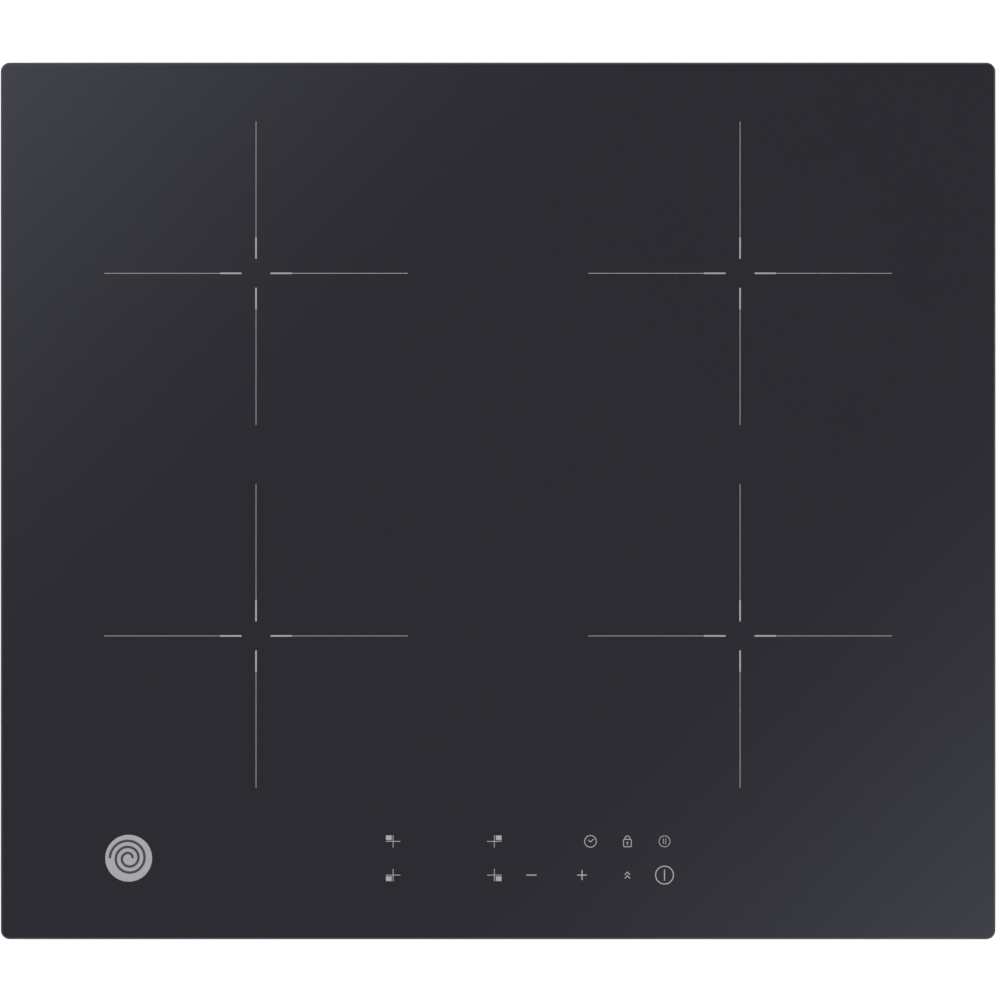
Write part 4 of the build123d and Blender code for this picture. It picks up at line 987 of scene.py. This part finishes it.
def displays():
    """One-digit modules beside the zone keys and a two-digit timer, all unlit."""
    low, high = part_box("display_modules")
    single, double = 9.0 * MM, 20.0 * MM
    front_y, rear_y = low.y + single / 2, high.y - single / 2
    left_x, right_x = low.x + single / 2, -18.0 * MM
    face = high.z - 0.1 * MM
    modules = [(x, y, single, (0.0,)) for x in (left_x, right_x) for y in (front_y, rear_y)]
    modules.append((high.x - double / 2, front_y, double, (-4.6 * MM, 4.6 * MM)))
    shell = bmesh.new()
    for x, y, _, digits in modules:
        for shift in digits:
            digit(shell, x + shift, y, face)
    # The boxes come last: faces made after a bevel are numbered differently from run to run.
    for x, y, width, _ in modules:
        corner = (x - width / 2, y - single / 2, low.z)
        opposite = (x + width / 2, y + single / 2, face)
        bevelled_box(shell, corner, opposite, 0.35 * MM)
    looks = ["display_plastic", "unlit_segments"]
    make_piece("digit_displays", shell, "display_plastic", ["display_modules"], looks)


def rounded_route(corners, radius):
    """A bent line with its corners rounded."""
    steps = 8
    points = [Vector(corners[0])]
    for before, corner, after in zip(corners, corners[1:], corners[2:]):
        corner = Vector(corner)
        to_before = (Vector(before) - corner).normalized()
        to_after = (Vector(after) - corner).normalized()
        trim = radius * math.tan((math.pi - to_before.angle(to_after)) / 2)
        start, end = corner + to_before * trim, corner + to_after * trim
        for k in range(steps + 1):
            t = k / steps
            points.append(start * (1 - t) ** 2 + corner * 2 * t * (1 - t) + end * t**2)
    return points + [Vector(corners[-1])]


def plug(shell, low, high, ribs, axis):
    """A nylon plug: a rounded housing with locking ribs on its two broad sides, spread along an axis."""
    low, high = Vector(low), Vector(high)
    rib = 0.35 * MM
    bevelled_box(shell, low + Vector((rib, rib, 0)), high - Vector((rib, rib, rib)), 0.4 * MM)
    step = (high[axis] - low[axis]) / ribs
    for k in range(ribs):
        middle = low[axis] + (k + 0.5) * step
        rib_low, rib_high = low.copy(), high.copy()
        rib_low[axis], rib_high[axis] = middle - step * 0.22, middle + step * 0.22
        rib_low.z += 1.2 * MM
        bevelled_box(shell, rib_low, rib_high, 0.25 * MM)


WIRE_RADIUS = 1.2 * MM
PLUG_TOP = -36.8 * MM
WIRE_LOOKS = ("wire_brown", "wire_blue", "wire_earth", "wire_grey", "wire_red")


def mains_wires(wires, plugs):
    """The three wires from the terminal block to their plug on the right-hand board."""
    end_y = 74.5
    for lane, (start_x, start_z) in enumerate(((182.0, -38.6), (185.0, -36.0), (188.0, -38.6))):
        end_x, end_z = 205 + 5 * lane, -42 + lane
        first, turn = (start_x, 216.1, start_z), (start_x, 200 - 4 * lane, start_z)
        corners = in_metres([first, turn, (end_x, 180, end_z), (end_x, end_y, end_z)])
        tube(wires, rounded_route(corners, 6 * MM), WIRE_RADIUS, sides=12, material=lane)
    plug(plugs, (201.5 * MM, 65 * MM, BOARD_TOP), (218.5 * MM, 74.95 * MM, PLUG_TOP), ribs=3, axis=0)


def board_links(wires, plugs):
    """The two wires across the middle of the hob that feed the left-hand board, and their plugs."""
    end_x = 34.5
    for lane in range(2):
        y, arch_z = 72 - 5 * lane, -34 - lane
        corners = in_metres([(-end_x, y, -40), (-14, y, arch_z), (14, y, arch_z), (end_x, y, -40)])
        tube(wires, rounded_route(corners, 5 * MM), WIRE_RADIUS, sides=12, material=lane)
    for near, far in ((-42.0 * MM, -34.05 * MM), (34.05 * MM, 42.0 * MM)):
        plug(plugs, (near, 63 * MM, BOARD_TOP), (far, 76 * MM, PLUG_TOP), ribs=2, axis=1)


def control_ribbons(wires, plugs):
    """A flat cable from each power board up to the touch board: grey, with one red edge."""
    ribbon_x, width, conductors = 42.0 * MM, 10.0 * MM, 16
    run_z, rise_y = -40.6 * MM, -205.0 * MM
    pitch = width / conductors
    board_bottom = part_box("control_board")[0].z
    for middle in (-ribbon_x, ribbon_x):
        corner = (middle - width / 2, -149.5 * MM, BOARD_TOP)
        opposite = (middle + width / 2, -141 * MM, run_z + 2 * MM)
        plug(plugs, corner, opposite, ribs=5, axis=0)
        for n in range(conductors):
            x = middle + (n - (conductors - 1) / 2) * pitch
            corners = [(x, -149 * MM, run_z), (x, rise_y, run_z), (x, rise_y, board_bottom)]
            look = "wire_grey" if n else "wire_red"
            route = rounded_route(corners, 6 * MM)
            tube(wires, route, pitch * 0.51, sides=8, material=WIRE_LOOKS.index(look))


def wiring():
    """All the wires and flat cables, and the plugs at their ends."""
    wires, plugs = bmesh.new(), bmesh.new()
    mains_wires(wires, plugs)
    board_links(wires, plugs)
    control_ribbons(wires, plugs)
    make_piece("wires_and_ribbons", wires, "wire_insulation", ["wiring_harness"], WIRE_LOOKS)
    make_piece("nylon_plugs", plugs, "wire_insulation", looks=["plug_nylon"])


def cord_grip():
    """The ribbed rubber bush round the mains cable."""
    low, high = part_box("cord_grip")
    centre = ((low.x + high.x) / 2, low.y, (low.z + high.z) / 2)
    bore, sleeve, flange = 5.5 * MM, 6.95 * MM, (high.x - low.x) / 2
    length, step = high.y - low.y, 9.0 * MM
    outside = [(sleeve - 0.4 * MM, 0.0), (sleeve, 0.4 * MM), (sleeve, step)]
    rim = in_metres([(0.3, 0.0), (0.0, 0.3), (0.0, 2.2), (0.7, 2.6), (0.7, 3.4), (0.2, 3.8)])
    outside += [(flange - inset, step + along) for inset, along in rim]
    outside += [(flange - 0.5 * MM, length - 1.0 * MM), (flange - 1.6 * MM, length)]
    outside += [(bore + 0.5 * MM, length)]
    ridges, groove_depth, end_margin = 5, 0.4 * MM, 0.6 * MM
    ridge = (length - 2 * end_margin) / ridges
    inside = []
    for k in range(ridges):
        far = length - end_margin - k * ridge
        inside += [(bore + groove_depth, far), (bore, far - 0.8 * MM), (bore, far - ridge + 0.8 * MM)]
    shell = bmesh.new()
    lathe(shell, outside + inside + [(bore + groove_depth, 0.0)], centre, axis="Y", steps=72)
    smooth(make_piece("cable_bush", shell, "grip_rubber", ["cord_grip"]), 35)


line_chokes()
displays()
wiring()
cord_grip()


# ---------- floor, light and camera


def white_floor():
    """A pale studio floor under the hob, lit brightly enough to read as white."""
    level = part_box("base_tray")[0].z
    shell = bmesh.new()
    for x, y in circle_points(30.0):
        shell.verts.new((x, y, level))
    shell.faces.new(shell.verts)
    tree, shader = new_material("studio_floor")
    grain = clouds(tree, 4 * MM, 3)
    feed(tree, shader, Base_Color=blend_colours(tree, grain, (0.86, 0.86, 0.86), (0.90, 0.90, 0.90)))
    feed(tree, shader, Roughness=0.9, Specular_IOR_Level=0.1)
    seen = add(tree, "LightPath").outputs["Is Camera Ray"]
    glow = add(tree, "Emission", {"Color": (1, 1, 1), "Strength": 1.22})
    share = calc(tree, "MULTIPLY", seen, 0.62)
    mixed = add(tree, "MixShader", {0: share, 1: shader.outputs[0], 2: glow.outputs[0]})
    tree.links.new(mixed.outputs[0], tree.nodes["Material Output"].inputs["Surface"])
    mesh_object("floor", shell, ["studio_floor"])


def studio_world():
    """A white studio with two soft overhead panels, to the left rear and to the right front.

    Their edges reach into the reflection in the glass, so two of its corners are lighter.
    """
    world = bpy.data.worlds.new("studio")
    bpy.context.scene.world = world
    world.use_nodes = True
    tree = world.node_tree
    outwards = add(tree, "TexCoord").outputs["Generated"]
    direction = axis_parts(tree, outwards)
    diagonal = calc(tree, "MULTIPLY", calc(tree, "SUBTRACT", direction["Y"], direction["X"]), 0.7071)
    rear_left = ranged(tree, diagonal, 0.03, 0.25, 0.0, 2.1, smooth=True)
    front_right = ranged(tree, diagonal, -0.036, -0.25, 0.0, 1.95, smooth=True)
    panels = calc(tree, "ADD", calc(tree, "ADD", rear_left, front_right), 0.455)
    noise = add(tree, "TexNoise", {"Vector": outwards, "Scale": 3.2, "Detail": 0.0})
    walls = ranged(tree, noise.outputs["Fac"], 0.3, 0.7, 0.65, 1.3, smooth=True)
    surround = calc(tree, "MULTIPLY", ranged(tree, direction["Z"], 0.0, 0.5, 0.42, 0.30), walls)
    overhead = ranged(tree, direction["Z"], 0.45, 0.85, 0.0, 1.0, smooth=True)
    light = blend_values(tree, overhead, surround, panels)
    seen = add(tree, "LightPath").outputs["Is Camera Ray"]
    strength = blend_values(tree, seen, light, 1.05)
    feed(tree, tree.nodes["Background"], Color=(1, 1, 1), Strength=strength)


def key_light():
    """One large soft light that shapes the sides and isn't mirrored in the glass."""
    data = bpy.data.lights.new("key", "AREA")
    data.shape = "DISK"
    data.size = 2.2
    data.energy = 60.0
    lamp = into_scene("key", data)
    lamp.location = (-1.4, -1.6, 2.4)
    lamp.rotation_euler = (-lamp.location).to_track_quat("-Z", "Y").to_euler()
    lamp.visible_glossy = False


def overhead_camera():
    """Straight above the glass with a long lens, so that the plate fills the picture's width."""
    low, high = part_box("glass_plate")
    share_of_width = 0.99513
    shift_right, shift_up = 1.16 * MM, 0.58 * MM
    data = bpy.data.cameras.new("camera")
    data.lens = 200.0
    data.sensor_width = 36.0
    data.clip_end = 100.0
    picture_width = (high.x - low.x) / share_of_width
    height = high.z + picture_width * data.lens / data.sensor_width
    camera = into_scene("camera", data)
    camera.location = (shift_right, shift_up, height)
    bpy.context.scene.camera = camera


white_floor()
studio_world()
key_light()
overhead_camera()
bpy.context.scene.view_settings.view_transform = "Standard"
